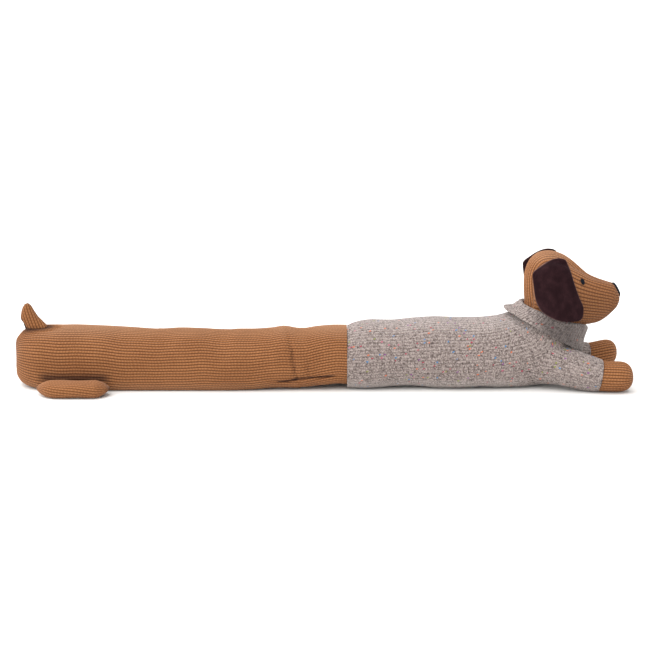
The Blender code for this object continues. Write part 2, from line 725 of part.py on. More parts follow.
def build():
    """Makes every piece of the dog."""
    clear_scene()
    hind, jumper = tube_pieces()
    make_object("hind_body", hind, "rib_knit")
    make_object("jumper_body", jumper, "tweed_knit")
    make_object("tail", tail(), "rib_knit")
    for label, side in (("right", -1), ("left", 1)):
        make_object(f"hind_foot_{label}", foot(side), "rib_knit")
        piece = make_object(f"jumper_sleeve_{label}", sleeve(side), "tweed_knit")
        subtract(piece, swollen(tube_pieces()[1], CUTTER_SWELL), f"chest_cutter_{label}")
        make_object(f"fore_paw_{label}", paw(side), "rib_knit")
        make_object(f"head_side_{label}", head_side(side, RIB_DEPTH), "rib_knit")
        make_object(f"ear_{label}", ear(side), "velvet")
        make_object(f"eye_{label}", eye(side), "dark_thread")
    make_object("head_gusset", head_gusset(RIB_DEPTH), "rib_knit")
    make_object("jumper_collar", collar(), "tweed_knit")
    make_object("nose", nose(), "dark_thread")


build()
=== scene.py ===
"""Dresses the long knitted dog: ribbed body, tweed jumper, velvet ears and stitched face.

Sizes are in millimetres, in the dog's own frame: nose along +X, right side towards -Y, floor at
z = 0. Meshes are scaled to metres, and moved by the centring step, when their objects are made.
"""

import sys
import logging
import math
from dataclasses import dataclass, field, replace
from enum import Enum
from typing import Callable, Dict, List, Optional, Sequence, Tuple

import bpy
import numpy as np
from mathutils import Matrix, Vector
from mathutils.bvhtree import BVHTree
from mathutils.kdtree import KDTree


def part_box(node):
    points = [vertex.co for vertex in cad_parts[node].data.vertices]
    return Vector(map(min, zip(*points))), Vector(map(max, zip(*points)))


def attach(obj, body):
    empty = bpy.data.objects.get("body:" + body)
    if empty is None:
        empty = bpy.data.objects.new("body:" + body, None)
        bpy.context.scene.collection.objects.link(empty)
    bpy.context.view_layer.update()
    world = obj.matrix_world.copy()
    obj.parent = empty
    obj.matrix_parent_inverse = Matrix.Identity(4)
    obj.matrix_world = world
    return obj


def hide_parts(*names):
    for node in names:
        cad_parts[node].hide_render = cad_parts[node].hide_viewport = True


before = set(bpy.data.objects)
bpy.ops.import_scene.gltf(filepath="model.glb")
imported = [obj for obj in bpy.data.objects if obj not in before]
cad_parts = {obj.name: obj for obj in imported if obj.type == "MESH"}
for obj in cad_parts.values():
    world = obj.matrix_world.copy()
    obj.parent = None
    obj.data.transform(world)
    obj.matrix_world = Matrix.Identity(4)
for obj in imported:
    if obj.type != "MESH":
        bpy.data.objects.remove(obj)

LOG = logging.getLogger("dog")

# Metres for one millimetre, and the step that brings the dog's box to the middle of the frame
MM = 0.001
CENTRING_STEP = 4.25
CENTRING = np.array([CENTRING_STEP, 0.0, 0.0])
# The yarn map holds metres along the ribs and hundredths of the rib's number
RIB_MAP = 0.01
RIB_PITCH = 4.2
RING_SAMPLES = 1441
LEAST_LENGTH = 1e-9

Pair = Tuple[float, float]
Triple = Tuple[float, float, float]
Colour = Triple
Settings = Dict[str, object]
Inputs = Dict[object, object]
Material = bpy.types.Material
Piece = bpy.types.Object


class Side(Enum):
    """A side of the dog, with the sign of its Y."""

    RIGHT = -1
    LEFT = 1

    @property
    def label(self) -> str:
        """The side's word in node names."""
        return self.name.lower()


class Slot(Enum):
    """The record's material slots."""

    RIB = "rib_knit"
    TWEED = "tweed_knit"
    VELVET = "velvet"
    THREAD = "dark_thread"


# ---------------------------------------------------------------- shaders


class Signal:
    """A shader value that adds Math nodes when it is calculated with."""

    def __init__(self, graph: "Graph", socket: bpy.types.NodeSocket) -> None:
        """Keeps the graph and the socket that carries the value."""
        self.graph = graph
        self.socket = socket

    def math(self, operation: str, *others: "Value") -> "Signal":
        """Adds one Math node.

        Args:
            operation: the node's operation.
            others: its second and third value.

        Returns:
            The node's result.
        """
        values = {0: self, **{i + 1: other for i, other in enumerate(others)}}
        return self.graph.value("ShaderNodeMath", {"operation": operation}, values)

    def __add__(self, other: "Value") -> "Signal":
        """This value plus another."""
        return self.math("ADD", other)

    __radd__ = __add__

    def __mul__(self, other: "Value") -> "Signal":
        """This value times another."""
        return self.math("MULTIPLY", other)

    __rmul__ = __mul__

    def __sub__(self, other: "Value") -> "Signal":
        """This value less another."""
        return self.math("SUBTRACT", other)

    def __rsub__(self, other: "Value") -> "Signal":
        """Another value less this one."""
        return self.math("MULTIPLY", -1.0).math("ADD", other)

    def __truediv__(self, other: "Value") -> "Signal":
        """This value over another."""
        return self.math("DIVIDE", other)

    def __pow__(self, other: "Value") -> "Signal":
        """This value to a power."""
        return self.math("POWER", other)

    def wave(self) -> "Signal":
        """A cosine of the value in whole turns, from -1 to 1."""
        return (self * (2.0 * math.pi)).math("COSINE")

    def between(self, low: float, high: float) -> "Signal":
        """A smooth step from 0 at low to 1 at high."""
        values = {"Value": self, 1: low, 2: high}
        return self.graph.value("ShaderNodeMapRange", {"interpolation_type": "SMOOTHSTEP"}, values)


Value = "Signal | float"


class Graph:
    """The nodes of one material."""

    def __init__(self, name: str) -> None:
        """Starts a material with a Principled shader."""
        self.material = bpy.data.materials.new(name)
        self.material.use_nodes = True
        self.tree = self.material.node_tree
        self.shader = self.tree.nodes["Principled BSDF"]

    def node(self, kind: str, settings: Settings, values: Inputs) -> bpy.types.Node:
        """Adds a node.

        Args:
            kind: the node's type.
            settings: its properties, which are set first.
            values: numbers, colours or links for its input sockets.

        Returns:
            The node.
        """
        made = self.tree.nodes.new(kind)
        for key, value in settings.items():
            setattr(made, key, value)
        for key, value in values.items():
            self.feed(made.inputs[key], value)
        return made

    def feed(self, socket: bpy.types.NodeSocket, value: object) -> None:
        """Links a value to a socket, or sets it there."""
        if isinstance(value, Signal):
            value = value.socket
        if isinstance(value, bpy.types.NodeSocket):
            self.tree.links.new(value, socket)
        elif hasattr(value, "__len__") and len(value) == 3 and socket.type == "RGBA":
            socket.default_value = (*value, 1.0)
        else:
            socket.default_value = value

    def value(self, kind: str, settings: Settings, values: Inputs, output: object = 0) -> Signal:
        """Adds a node for the sake of one output.

        Args:
            kind: the node's type.
            settings: its properties.
            values: numbers, colours or links for its input sockets.
            output: the output's number or name.

        Returns:
            That output.
        """
        return Signal(self, self.node(kind, settings, values).outputs[output])

    def mix(self, share: Value, first: object, second: object) -> Signal:
        """Mixes two colours.

        Args:
            share: how much of the second colour shows.
            first: a colour, or a value that carries one.
            second: the other colour.

        Returns:
            The mixed colour.
        """
        values = {0: share, 6: first, 7: second}
        return self.value("ShaderNodeMix", {"data_type": "RGBA"}, values, 2)

    def yarn(self) -> Tuple[Signal, Signal]:
        """The distance along the ribs in millimetres, and the number of the rib."""
        place = self.node("ShaderNodeUVMap", {"uv_map": "yarn"}, {})
        parts = self.node("ShaderNodeSeparateXYZ", {}, {0: place.outputs[0]})
        along, rib = (Signal(self, parts.outputs[number]) for number in (0, 1))
        return along * (1.0 / MM), rib * (1.0 / RIB_MAP)

    def shade(self) -> Signal:
        """The shade painted on the piece: 0 is dark, 1 is plain, and more than 1 is lighter."""
        return self.value("ShaderNodeAttribute", {"attribute_name": "shade"}, {}, "Fac")

    def painted(self, colour: Signal, deep: Colour, pale: Colour) -> Signal:
        """Carries the painted shade into a colour.

        Args:
            colour: the plain colour.
            deep: what shows where the shade is 0.
            pale: what is mixed in where the shade is over 1.

        Returns:
            The shaded colour.
        """
        colour = self.mix(self.shade(), deep, colour)
        return self.mix(self.shade() - 1.0, colour, pale)

    def noise(self, scale: float, detail: float = 2.0) -> Signal:
        """Noise over the piece's own coordinates, per metre."""
        place = self.node("ShaderNodeTexCoord", {}, {})
        values = {"Vector": place.outputs["Object"], "Scale": scale, "Detail": detail}
        return self.value("ShaderNodeTexNoise", {}, values)

    def random(self, first: Signal, second: Signal, seed: float) -> Signal:
        """A random number from 0 to 1 for each whole pair of numbers."""
        places = {0: first + seed, 1: second + 0.37 * seed, 2: seed}
        cell = self.node("ShaderNodeCombineXYZ", {}, places)
        values = {"Vector": cell.outputs[0]}
        return self.value("ShaderNodeTexWhiteNoise", {"noise_dimensions": "3D"}, values)

    def ramp(
        self, share: Signal, stops: Sequence[Tuple[float, Colour]], kind: str = "LINEAR"
    ) -> Signal:
        """A colour ramp.

        Args:
            share: where on the ramp.
            stops: places and their colours.
            kind: how the ramp runs between its stops.

        Returns:
            The colour.
        """
        made = self.node("ShaderNodeValToRGB", {}, {0: share})
        made.color_ramp.interpolation = kind
        elements = made.color_ramp.elements
        while len(elements) < len(stops):
            elements.new(0.5)
        for element, (place, colour) in zip(elements, stops):
            element.position = place
            element.color = (*colour, 1.0)
        return Signal(self, made.outputs[0])

    def finish(
        self, colour: Signal, roughness: Value, height: Signal, depth: float, sheen: float
    ) -> Material:
        """Feeds the shader.

        Args:
            colour: the base colour.
            roughness: the roughness.
            height: the relief, from 0 to 1.
            depth: the relief's depth in metres.
            sheen: the weight of the sheen.

        Returns:
            The material.
        """
        relief = {"Height": height, "Distance": depth, "Strength": 1.0}
        bump = self.node("ShaderNodeBump", {}, relief)
        self.feed(self.shader.inputs["Base Color"], colour)
        self.feed(self.shader.inputs["Roughness"], roughness)
        self.feed(self.shader.inputs["Normal"], bump.outputs[0])
        self.shader.inputs["Sheen Weight"].default_value = sheen
        self.shader.inputs["Sheen Roughness"].default_value = 0.5
        self.shader.inputs["Specular IOR Level"].default_value = 0.2
        return self.material


@dataclass(frozen=True)
class RibKnit:
    """Ochre-brown rib knit: V-shaped stitches along rounded ribs, with painted shade in the grooves
    between them.
    """

    light: Colour = (0.325, 0.138, 0.052)
    dark: Colour = (0.202, 0.076, 0.025)
    # groove: painted shade between the ribs
    groove: Colour = (0.105, 0.036, 0.012)
    # deep and pale: painted shade and painted light, carried by the shade attribute
    deep: Colour = (0.03, 0.010, 0.006)
    pale: Colour = (0.82, 0.58, 0.40)
    stitch_length: float = 4.4

    def material(self) -> Material:
        """Builds the finish.

        Returns:
            The material.
        """
        graph = Graph("rib_knit_yarn")
        along, rib = graph.yarn()
        off_middle = (rib + 0.5).math("FRACT").math("SUBTRACT", 0.5).math("ABSOLUTE")
        rib_number = rib.math("ROUND")
        start = graph.random(rib_number, rib_number, 5.3)
        place = along / self.stitch_length + start + graph.noise(70.0) * 1.5
        legs = (place + off_middle * 0.8).wave() * 0.5 + 0.5
        open_rib = 1.0 - off_middle.between(0.2, 0.47)
        strand = graph.noise(620.0, 3.0)
        tone = graph.noise(22.0, 3.0).between(0.3, 0.7)
        light = (legs * 0.45 + strand * 0.55).between(0.2, 0.8) * 0.72 + tone * 0.28
        colour = graph.mix(light, self.dark, self.light)
        # Painted shade in the grooves between the ribs
        colour = graph.mix(open_rib, self.groove, colour)
        colour = graph.painted(colour, self.deep, self.pale)
        height = legs * 0.3 * open_rib + open_rib * 0.3 + strand * 0.4
        return graph.finish(colour, 0.92 - legs * 0.06, height, 0.0007, 0.08)


@dataclass(frozen=True)
class TweedKnit:
    """Grey-beige marl knit in rows of short stitches, with bright flecks in the yarn."""

    name: str = "tweed_knit_yarn"
    stitch_length: float = 3.4
    fleck_share: float = 0.07
    # Strength of the painted shade in the gaps between rows and between stitches
    painted_gap_shade: float = 0.66
    light: Colour = (0.335, 0.279, 0.257)
    middle: Colour = (0.205, 0.162, 0.147)
    dark: Colour = (0.066, 0.049, 0.045)
    flecks: Tuple[Colour, ...] = (
        (0.30, 0.018, 0.050),
        (0.50, 0.11, 0.04),
        (0.045, 0.16, 0.33),
        (0.19, 0.20, 0.05),
        (0.16, 0.05, 0.17),
        (0.36, 0.09, 0.14),
    )
    fleck_stops: Tuple[float, ...] = (0.0, 0.3, 0.5, 0.7, 0.82, 0.9)
    yarn_stops: Triple = (0.35, 0.475, 0.58)
    # deep and pale: painted shade and painted light, carried by the shade attribute
    deep: Colour = (0.03, 0.024, 0.024)
    pale: Colour = (0.75, 0.69, 0.66)

    def material(self) -> Material:
        """Builds the finish.

        Returns:
            The material.
        """
        graph = Graph(self.name)
        along, row = graph.yarn()
        row_number = row.math("ROUND")
        in_row = (row - row_number).math("ABSOLUTE")
        place = along / self.stitch_length + graph.random(row_number, row_number, 3.1)
        stitch = place.math("FLOOR")
        in_stitch = place - stitch
        bow = 1.0 - (in_stitch - 0.5).math("ABSOLUTE") * 2.0
        strand = graph.noise(490.0, 5.0)
        fluff = graph.noise(240.0, 3.0)
        marl = graph.random(stitch, row_number, 11.7)
        tightness = graph.random(stitch, row.math("FLOOR"), 17.9)
        # Where the gaps between rows and between stitches are, for their painted shade
        gap = in_row.between(0.26, 0.48) * (0.3 + tightness * 0.5)
        gap = gap.math("MAXIMUM", (1.0 - bow.between(0.0, 0.35)) * marl * 0.45)
        loop = (1.0 - gap) * (0.6 + bow * 0.4)
        grain = marl * 0.08 + strand * 0.82 + fluff * 0.1
        yarn = graph.ramp(grain, tuple(zip(self.yarn_stops, (self.dark, self.middle, self.light))))
        chosen = graph.random(stitch, row_number, 29.3)
        which = graph.random(stitch, row_number, 53.9)
        shown = (chosen - (1.0 - self.fleck_share)).math("GREATER_THAN", 0.0)
        across = (in_stitch - 0.5 + (row - row_number) * 0.8) / (0.3 + marl * 0.28)
        over = in_row / (0.17 + which * 0.15)
        spot = (across * across + over * over) ** 0.5 + (strand - 0.5) * 3.4
        shown = shown * (1.0 - spot.between(0.7, 1.15))
        fleck = graph.ramp(which, tuple(zip(self.fleck_stops, self.flecks)), "CONSTANT")
        colour = graph.mix(shown * (0.75 + fluff * 0.4).math("MINIMUM", 1.0), yarn, fleck)
        # Painted shade in the gaps between rows and between stitches
        colour = graph.mix(gap * self.painted_gap_shade, colour, self.dark)
        colour = graph.painted(colour, self.deep, self.pale)
        height = loop * 0.75 + strand * 0.25
        return graph.finish(colour, 0.95 - strand * 0.08, height, 0.0010, 0.3)


@dataclass(frozen=True)
class Velvet:
    """Dark brown velvet with a short pile, and a painted highlight along its edge for the sheen
    where the pile turns over.
    """

    base: Colour = (0.0130, 0.0048, 0.0062)
    brushed: Colour = (0.0250, 0.0098, 0.0118)
    # Painted highlight along the edge
    rim: Colour = (0.16, 0.095, 0.09)
    sheen_tint: Colour = (0.75, 0.5, 0.45)

    def material(self) -> Material:
        """Builds the finish.

        Returns:
            The material.
        """
        graph = Graph("velvet_pile")
        cloud = graph.noise(85.0, 5.0)
        pile = graph.noise(1500.0, 2.0)
        light = (cloud * 0.8 + pile * 0.2).between(0.38, 0.72)
        colour = graph.mix(light, self.base, self.brushed)
        # Painted highlight: the rim colour shows where the shade attribute falls towards the edge
        colour = graph.mix(graph.shade(), self.rim, colour)
        made = graph.finish(colour, 0.88 - cloud * 0.1, pile, 0.0003, 0.02)
        graph.shader.inputs["Specular IOR Level"].default_value = 0.05
        graph.shader.inputs["Sheen Roughness"].default_value = 0.35
        graph.shader.inputs["Sheen Tint"].default_value = (*self.sheen_tint, 1.0)
        return made


@dataclass(frozen=True)
class SatinThread:
    """Near-black embroidery thread, laid side by side."""

    base: Colour = (0.003, 0.004, 0.007)
    light: Colour = (0.010, 0.013, 0.020)

    def material(self) -> Material:
        """Builds the finish.

        Returns:
            The material.
        """
        graph = Graph("satin_thread")
        _, thread = graph.yarn()
        ridge = thread.wave() * 0.5 + 0.5
        strand = graph.noise(2200.0, 2.0)
        # Painted highlight along the ridge of each thread
        light = (ridge * 0.6 + strand * 0.4).between(0.2, 0.9)
        colour = graph.mix(light, self.base, self.light)
        made = graph.finish(colour, 0.8 - ridge * 0.1, ridge, 0.0002, 0.0)
        graph.shader.inputs["Specular IOR Level"].default_value = 0.08
        return made


# ---------------------------------------------------------------- surfaces


def smooth_closed(points: Sequence[Pair], per_span: int = 4) -> np.ndarray:
    """A closed Catmull-Rom curve.

    Args:
        points: the points that it passes through.
        per_span: points of the curve for each of them.

    Returns:
        The curve's points, two columns.
    """
    known = np.array(points, float)
    before, after, last = (np.roll(known, k, axis=0) for k in (1, -1, -2))
    share = (np.arange(per_span) / per_span)[None, :, None]
    linear = (after - before)[:, None]
    square = (2 * before - 5 * known + 4 * after - last)[:, None]
    cube = (3 * known - before - 3 * after + last)[:, None]
    curve = 0.5 * (2 * known[:, None] + linear * share + square * share**2 + cube * share**3)
    return curve.reshape(-1, 2)


def outward_normals(curve: np.ndarray) -> np.ndarray:
    """Unit normals of a closed curve that runs anticlockwise, pointing out of it."""
    along = np.roll(curve, -1, axis=0) - np.roll(curve, 1, axis=0)
    along /= np.linalg.norm(along, axis=1)[:, None]
    return np.stack([along[:, 1], -along[:, 0]], axis=1)


def flowing(keys: np.ndarray, table: np.ndarray, places: np.ndarray) -> np.ndarray:
    """Smooth values between the rows of a table, with no overshoot.

    Args:
        keys: the place of each row.
        table: the rows.
        places: where values are wanted.

    Returns:
        One row for each place.
    """
    steps = np.diff(keys)[:, None]
    slopes = np.diff(table, axis=0) / steps
    tangents = np.zeros_like(table)
    product = slopes[:-1] * slopes[1:]
    total = slopes[:-1] + slopes[1:]
    harmonic = 2.0 * product / np.where(total == 0.0, 1.0, total)
    tangents[1:-1] = np.where(product > 0.0, harmonic, 0.0)
    tangents[0], tangents[-1] = slopes[0], slopes[-1]
    index = np.clip(np.searchsorted(keys, places, side="right") - 1, 0, len(keys) - 2)
    width = steps[index]
    t = ((places - keys[index])[:, None]) / width
    first = (1 + 2 * t) * (1 - t) ** 2 * table[index] + t * (1 - t) ** 2 * width * tangents[index]
    second = t**2 * (3 - 2 * t) * table[index + 1] + t**2 * (t - 1) * width * tangents[index + 1]
    return first + second


def bell(values: np.ndarray, middle: float, width: float) -> np.ndarray:
    """A smooth hump of height 1 round the middle."""
    return np.exp(-(((values - middle) / width) ** 2))


def ease(values: np.ndarray, low: float, high: float) -> np.ndarray:
    """A smooth step from 0 at low to 1 at high."""
    share = np.clip((values - low) / (high - low), 0.0, 1.0)
    return share * share * (3.0 - 2.0 * share)


def rounded(values: np.ndarray, power: np.ndarray) -> np.ndarray:
    """Sines or cosines raised to a power with their signs kept, for a squarer or blunter ring."""
    return np.sign(values) * np.abs(values) ** power


def summed(steps: np.ndarray) -> np.ndarray:
    """The way covered after each step, starting from 0."""
    return np.concatenate([[0.0], np.cumsum(steps)])


def unit(vectors: np.ndarray) -> np.ndarray:
    """A grid of vectors, each brought to length 1."""
    return vectors / np.maximum(np.linalg.norm(vectors, axis=2, keepdims=True), LEAST_LENGTH)


def closed_steps(points: np.ndarray, axis: int) -> np.ndarray:
    """Steps from the point before to the point after, round a grid whose last line is its first.

    Args:
        points: the grid.
        axis: the way round.

    Returns:
        One step for each point.
    """
    ring = np.delete(points, -1, axis=axis)
    steps = np.roll(ring, -1, axis=axis) - np.roll(ring, 1, axis=axis)
    return np.concatenate([steps, np.take(steps, [0], axis=axis)], axis=axis)


def between_cells(table: np.ndarray, i: np.ndarray, j: np.ndarray) -> np.ndarray:
    """Values of a table between its cells.

    Args:
        table: the values.
        i: places down the table, in cells.
        j: places across it.

    Returns:
        One value for each place.
    """
    a = np.clip(i.astype(int), 0, table.shape[0] - 2)
    b = np.clip(j.astype(int), 0, table.shape[1] - 2)
    s, t = i - a, j - b
    low = table[a, b] * (1.0 - s) + table[a + 1, b] * s
    high = table[a, b + 1] * (1.0 - s) + table[a + 1, b + 1] * s
    return low * (1.0 - t) + high * t


def turned(points: np.ndarray, angle: float) -> np.ndarray:
    """Points of a plane, turned so that a line at the angle comes to lie level."""
    c, s = math.cos(angle), math.sin(angle)
    return points @ np.array([[c, -s], [s, c]])


@dataclass
class Surface:
    """A knitted face as a grid of points: rows run round or over it and columns along its ribs."""

    points: np.ndarray
    yarn: np.ndarray
    closed: bool = False
    facing: Optional[Triple] = None
    shade: Optional[np.ndarray] = None

    def normals(self) -> np.ndarray:
        """Unit normals that point out of the filling.

        Returns:
            One normal for each point.
        """
        down = np.gradient(self.points, axis=0)
        over = closed_steps(self.points, 1) if self.closed else np.gradient(self.points, axis=1)
        normals = unit(np.cross(down, over))
        if self.facing is None:
            outwards = self.points - self.points.mean(axis=1, keepdims=True)
        else:
            outwards = np.array(self.facing)
        return normals * (1.0 if (normals * outwards).sum() > 0.0 else -1.0)

    def pushed(self, amount: np.ndarray) -> "Surface":
        """The same face with its points moved along their normals."""
        return replace(self, points=self.points + self.normals() * amount[..., None])

    def grounded(self) -> "Surface":
        """The same face with nothing under the floor."""
        points = self.points.copy()
        points[..., 2] = np.maximum(points[..., 2], 0.0)
        return replace(self, points=points)


def rib_relief(rib: np.ndarray, depth: float, roundness: float = 0.55) -> np.ndarray:
    """Height of rounded ribs, 0 on a whole number and -depth half way to the next."""
    return depth * (np.abs(np.cos(math.pi * rib)) ** roundness - 1.0)


@dataclass(frozen=True)
class Filling:
    """How the filling presses the cloth out, and how the cloth holds against it."""

    pressure: float = 4.0
    stretch_stiffness: float = 40.0
    shear_stiffness: float = 15.0
    bending_stiffness: float = 0.6
    frames: int = 20


class Workbench:
    """Makes meshes from surfaces, and lets filled cloth settle."""

    @staticmethod
    def grid(surface: Surface) -> Piece:
        """Lays one flat grid of cloth and moves its points to their places.

        Args:
            surface: the face that it becomes.

        Returns:
            The grid's object.
        """
        rows, columns = surface.points.shape[:2]
        bpy.ops.object.select_all(action="DESELECT")
        bpy.ops.mesh.primitive_grid_add(
            x_subdivisions=columns - 1, y_subdivisions=rows - 1, size=1.0, calc_uvs=True
        )
        piece = bpy.context.object
        mesh = piece.data
        places = (surface.points + CENTRING) * MM
        mesh.vertices.foreach_set("co", places.astype(np.float32).ravel())
        corners = np.zeros(len(mesh.loops), np.int32)
        mesh.loops.foreach_get("vertex_index", corners)
        layer = mesh.uv_layers[0]
        layer.name = "yarn"
        flat = surface.yarn.reshape(-1, 2)[corners] * np.array([MM, RIB_MAP])
        layer.uv.foreach_set("vector", flat.astype(np.float32).ravel())
        shade = np.ones(rows * columns) if surface.shade is None else surface.shade.ravel()
        attribute = mesh.attributes.new("shade", "FLOAT", "POINT")
        attribute.data.foreach_set("value", shade.astype(np.float32))
        mesh.update()
        return piece

    @classmethod
    def sew(cls, name: str, *surfaces: Surface) -> Piece:
        """Joins faces along their shared edges and closes what stays open.

        Args:
            name: the piece's name.
            surfaces: its faces.

        Returns:
            The closed piece.
        """
        parts = [cls.grid(surface) for surface in surfaces]
        bpy.ops.object.select_all(action="DESELECT")
        for part in parts:
            part.select_set(True)
        bpy.context.view_layer.objects.active = parts[0]
        if len(parts) > 1:
            bpy.ops.object.join()
        piece = bpy.context.object
        piece.name = piece.data.name = name
        bpy.ops.object.mode_set(mode="EDIT")
        bpy.ops.mesh.select_all(action="SELECT")
        bpy.ops.mesh.remove_doubles(threshold=2e-6)
        bpy.ops.mesh.dissolve_degenerate(threshold=1e-6)
        bpy.ops.mesh.select_all(action="DESELECT")
        bpy.ops.mesh.select_mode(type="EDGE")
        bpy.ops.mesh.select_non_manifold(extend=False, use_multi_face=False, use_verts=False)
        bpy.ops.mesh.fill_holes(sides=0)
        bpy.ops.mesh.select_all(action="DESELECT")
        bpy.ops.mesh.select_mode(type="FACE")
        bpy.ops.mesh.select_face_by_sides(number=8, type="GREATER", extend=False)
        bpy.ops.mesh.region_to_loop()
        bpy.ops.mesh.mark_sharp()
        bpy.ops.mesh.select_mode(type="EDGE")
        bpy.ops.mesh.select_all(action="SELECT")
        bpy.ops.mesh.normals_make_consistent(inside=False)
        bpy.ops.object.mode_set(mode="OBJECT")
        bpy.ops.object.shade_smooth()
        return piece

    @staticmethod
    def cut(piece: Piece, point: Sequence[float], normal: Sequence[float]) -> None:
        """Cuts a piece by a plane, takes off the side that the normal points to, and closes it.

        Args:
            piece: the piece.
            point: a point of the plane.
            normal: the plane's normal.
        """
        bpy.ops.object.select_all(action="DESELECT")
        piece.select_set(True)
        bpy.context.view_layer.objects.active = piece
        bpy.ops.object.mode_set(mode="EDIT")
        bpy.ops.mesh.select_all(action="SELECT")
        place = [(p + step) * MM for p, step in zip(point, CENTRING)]
        bpy.ops.mesh.bisect(
            plane_co=place, plane_no=tuple(normal), use_fill=True, clear_outer=True, threshold=1e-6
        )
        bpy.ops.object.mode_set(mode="OBJECT")

    @classmethod
    def settled(
        cls, surface: Surface, held: np.ndarray, cap: float, filling: Filling = Filling()
    ) -> np.ndarray:
        """Lets the filling press the cloth out for a few frames.

        Args:
            surface: the slack face, closed all round once it is sewn.
            held: which of its points stay in place.
            cap: how far a point may move.
            filling: the filling's pressure and the cloth's stiffness.
        """
        moves = np.zeros_like(surface.points)
        piece = cls.sew("slack", surface)
        places = (surface.points + CENTRING) * MM
        tree = KDTree(len(piece.data.vertices))
        for vertex in piece.data.vertices:
            tree.insert(vertex.co, vertex.index)
        tree.balance()
        index = np.array([tree.find(Vector(p))[1] for p in places.reshape(-1, 3)])
        pins = piece.vertex_groups.new(name="pins")
        pins.add(sorted({int(i) for i in index[held.ravel()]}), 1.0, "REPLACE")
        cloth = piece.modifiers.new("Cloth", "CLOTH")
        settings = cloth.settings
        settings.use_pressure = True
        settings.uniform_pressure_force = filling.pressure
        settings.vertex_group_mass = "pins"
        settings.tension_stiffness = filling.stretch_stiffness
        settings.compression_stiffness = filling.stretch_stiffness
        settings.shear_stiffness = filling.shear_stiffness
        settings.bending_stiffness = filling.bending_stiffness
        settings.effector_weights.gravity = 0.0
        cloth.collision_settings.use_collision = False
        cloth.point_cache.frame_start, cloth.point_cache.frame_end = 1, filling.frames
        rest = np.zeros(len(piece.data.vertices) * 3, np.float32)
        piece.data.vertices.foreach_get("co", rest)
        for number in range(1, filling.frames + 1):
            bpy.context.scene.frame_set(number)
        evaluated = piece.evaluated_get(bpy.context.evaluated_depsgraph_get())
        final = np.zeros_like(rest)
        evaluated.data.vertices.foreach_get("co", final)
        bpy.context.scene.frame_set(1)
        step = (final - rest).reshape(-1, 3)[index].reshape(moves.shape) / MM
        length = np.maximum(np.linalg.norm(step, axis=2, keepdims=True), LEAST_LENGTH)
        moves = step * np.minimum(1.0, cap / length)
        bpy.data.objects.remove(piece, do_unlink=True)
        mean, most = float(length.mean()), float(length.max())
        LOG.info("settled: mean move %.2f mm, most %.2f mm", mean, most)
        return moves

    @staticmethod
    def spread(moves: np.ndarray, rows: int, columns: int) -> np.ndarray:
        """Spreads the moves of a coarse grid smoothly over a finer one.

        Args:
            moves: how far each point of the coarse grid moves.
            rows: rows of the finer grid.
            columns: its columns.

        Returns:
            How far each of its points moves.
        """
        keys = np.linspace(0.0, 1.0, len(moves))
        tall = flowing(keys, moves.reshape(len(moves), -1), np.linspace(0.0, 1.0, rows))
        wide = tall.reshape(rows, -1, 3).transpose(1, 0, 2)
        keys = np.linspace(0.0, 1.0, len(wide))
        fine = flowing(keys, wide.reshape(len(wide), -1), np.linspace(0.0, 1.0, columns))
        return fine.reshape(columns, rows, 3).transpose(1, 0, 2)

    @staticmethod
    def dress(piece: Piece, node: str, material: Material, slot: Slot) -> Piece:
        """Gives a piece its finish, ties it to the part's body and hides the CAD part of its node.

        Args:
            piece: the piece.
            node: the CAD node that it stands for.
            material: its finish.
            slot: the record's material slot; not used.

        Returns:
            The piece.
        """
        piece.data.materials.clear()
        piece.data.materials.append(material)
        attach(piece, "root")
        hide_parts(node)
        LOG.info("%s: %d faces for %s", piece.name, len(piece.data.polygons), node)
        return piece

    @staticmethod
    def skin_tree(piece: Piece) -> BVHTree:
        """A piece's faces as a search tree, in millimetres in the dog's own frame."""
        places = [vertex.co / MM - Vector(CENTRING) for vertex in piece.data.vertices]
        return BVHTree.FromPolygons(places, [tuple(face.vertices) for face in piece.data.polygons])


# ---------------------------------------------------------------- filled tubes

CROWN_SQUARENESS = 2.3


def unit_section(
    places: np.ndarray, aspect: float, belly_squareness: float
) -> Tuple[np.ndarray, np.ndarray]:
    """Points of a section from -1 to 1 each way.

    Args:
        places: shares of the way round, from the left side over the back.
        aspect: width over height.
        belly_squareness: how square the lower half is, 2 for an ellipse.

    Returns:
        Places across and up.
    """
    angle = np.linspace(0.0, 2.0 * math.pi, RING_SAMPLES)
    squareness = np.where(np.sin(angle) < 0.0, belly_squareness, CROWN_SQUARENESS)
    across = rounded(np.cos(angle), 2.0 / squareness)
    up = rounded(np.sin(angle), 2.0 / squareness)
    length = summed(np.hypot(np.diff(across) * aspect, np.diff(up)))
    wanted = np.mod(places, 1.0) * length[-1]
    return np.interp(wanted, length, across), np.interp(wanted, length, up)


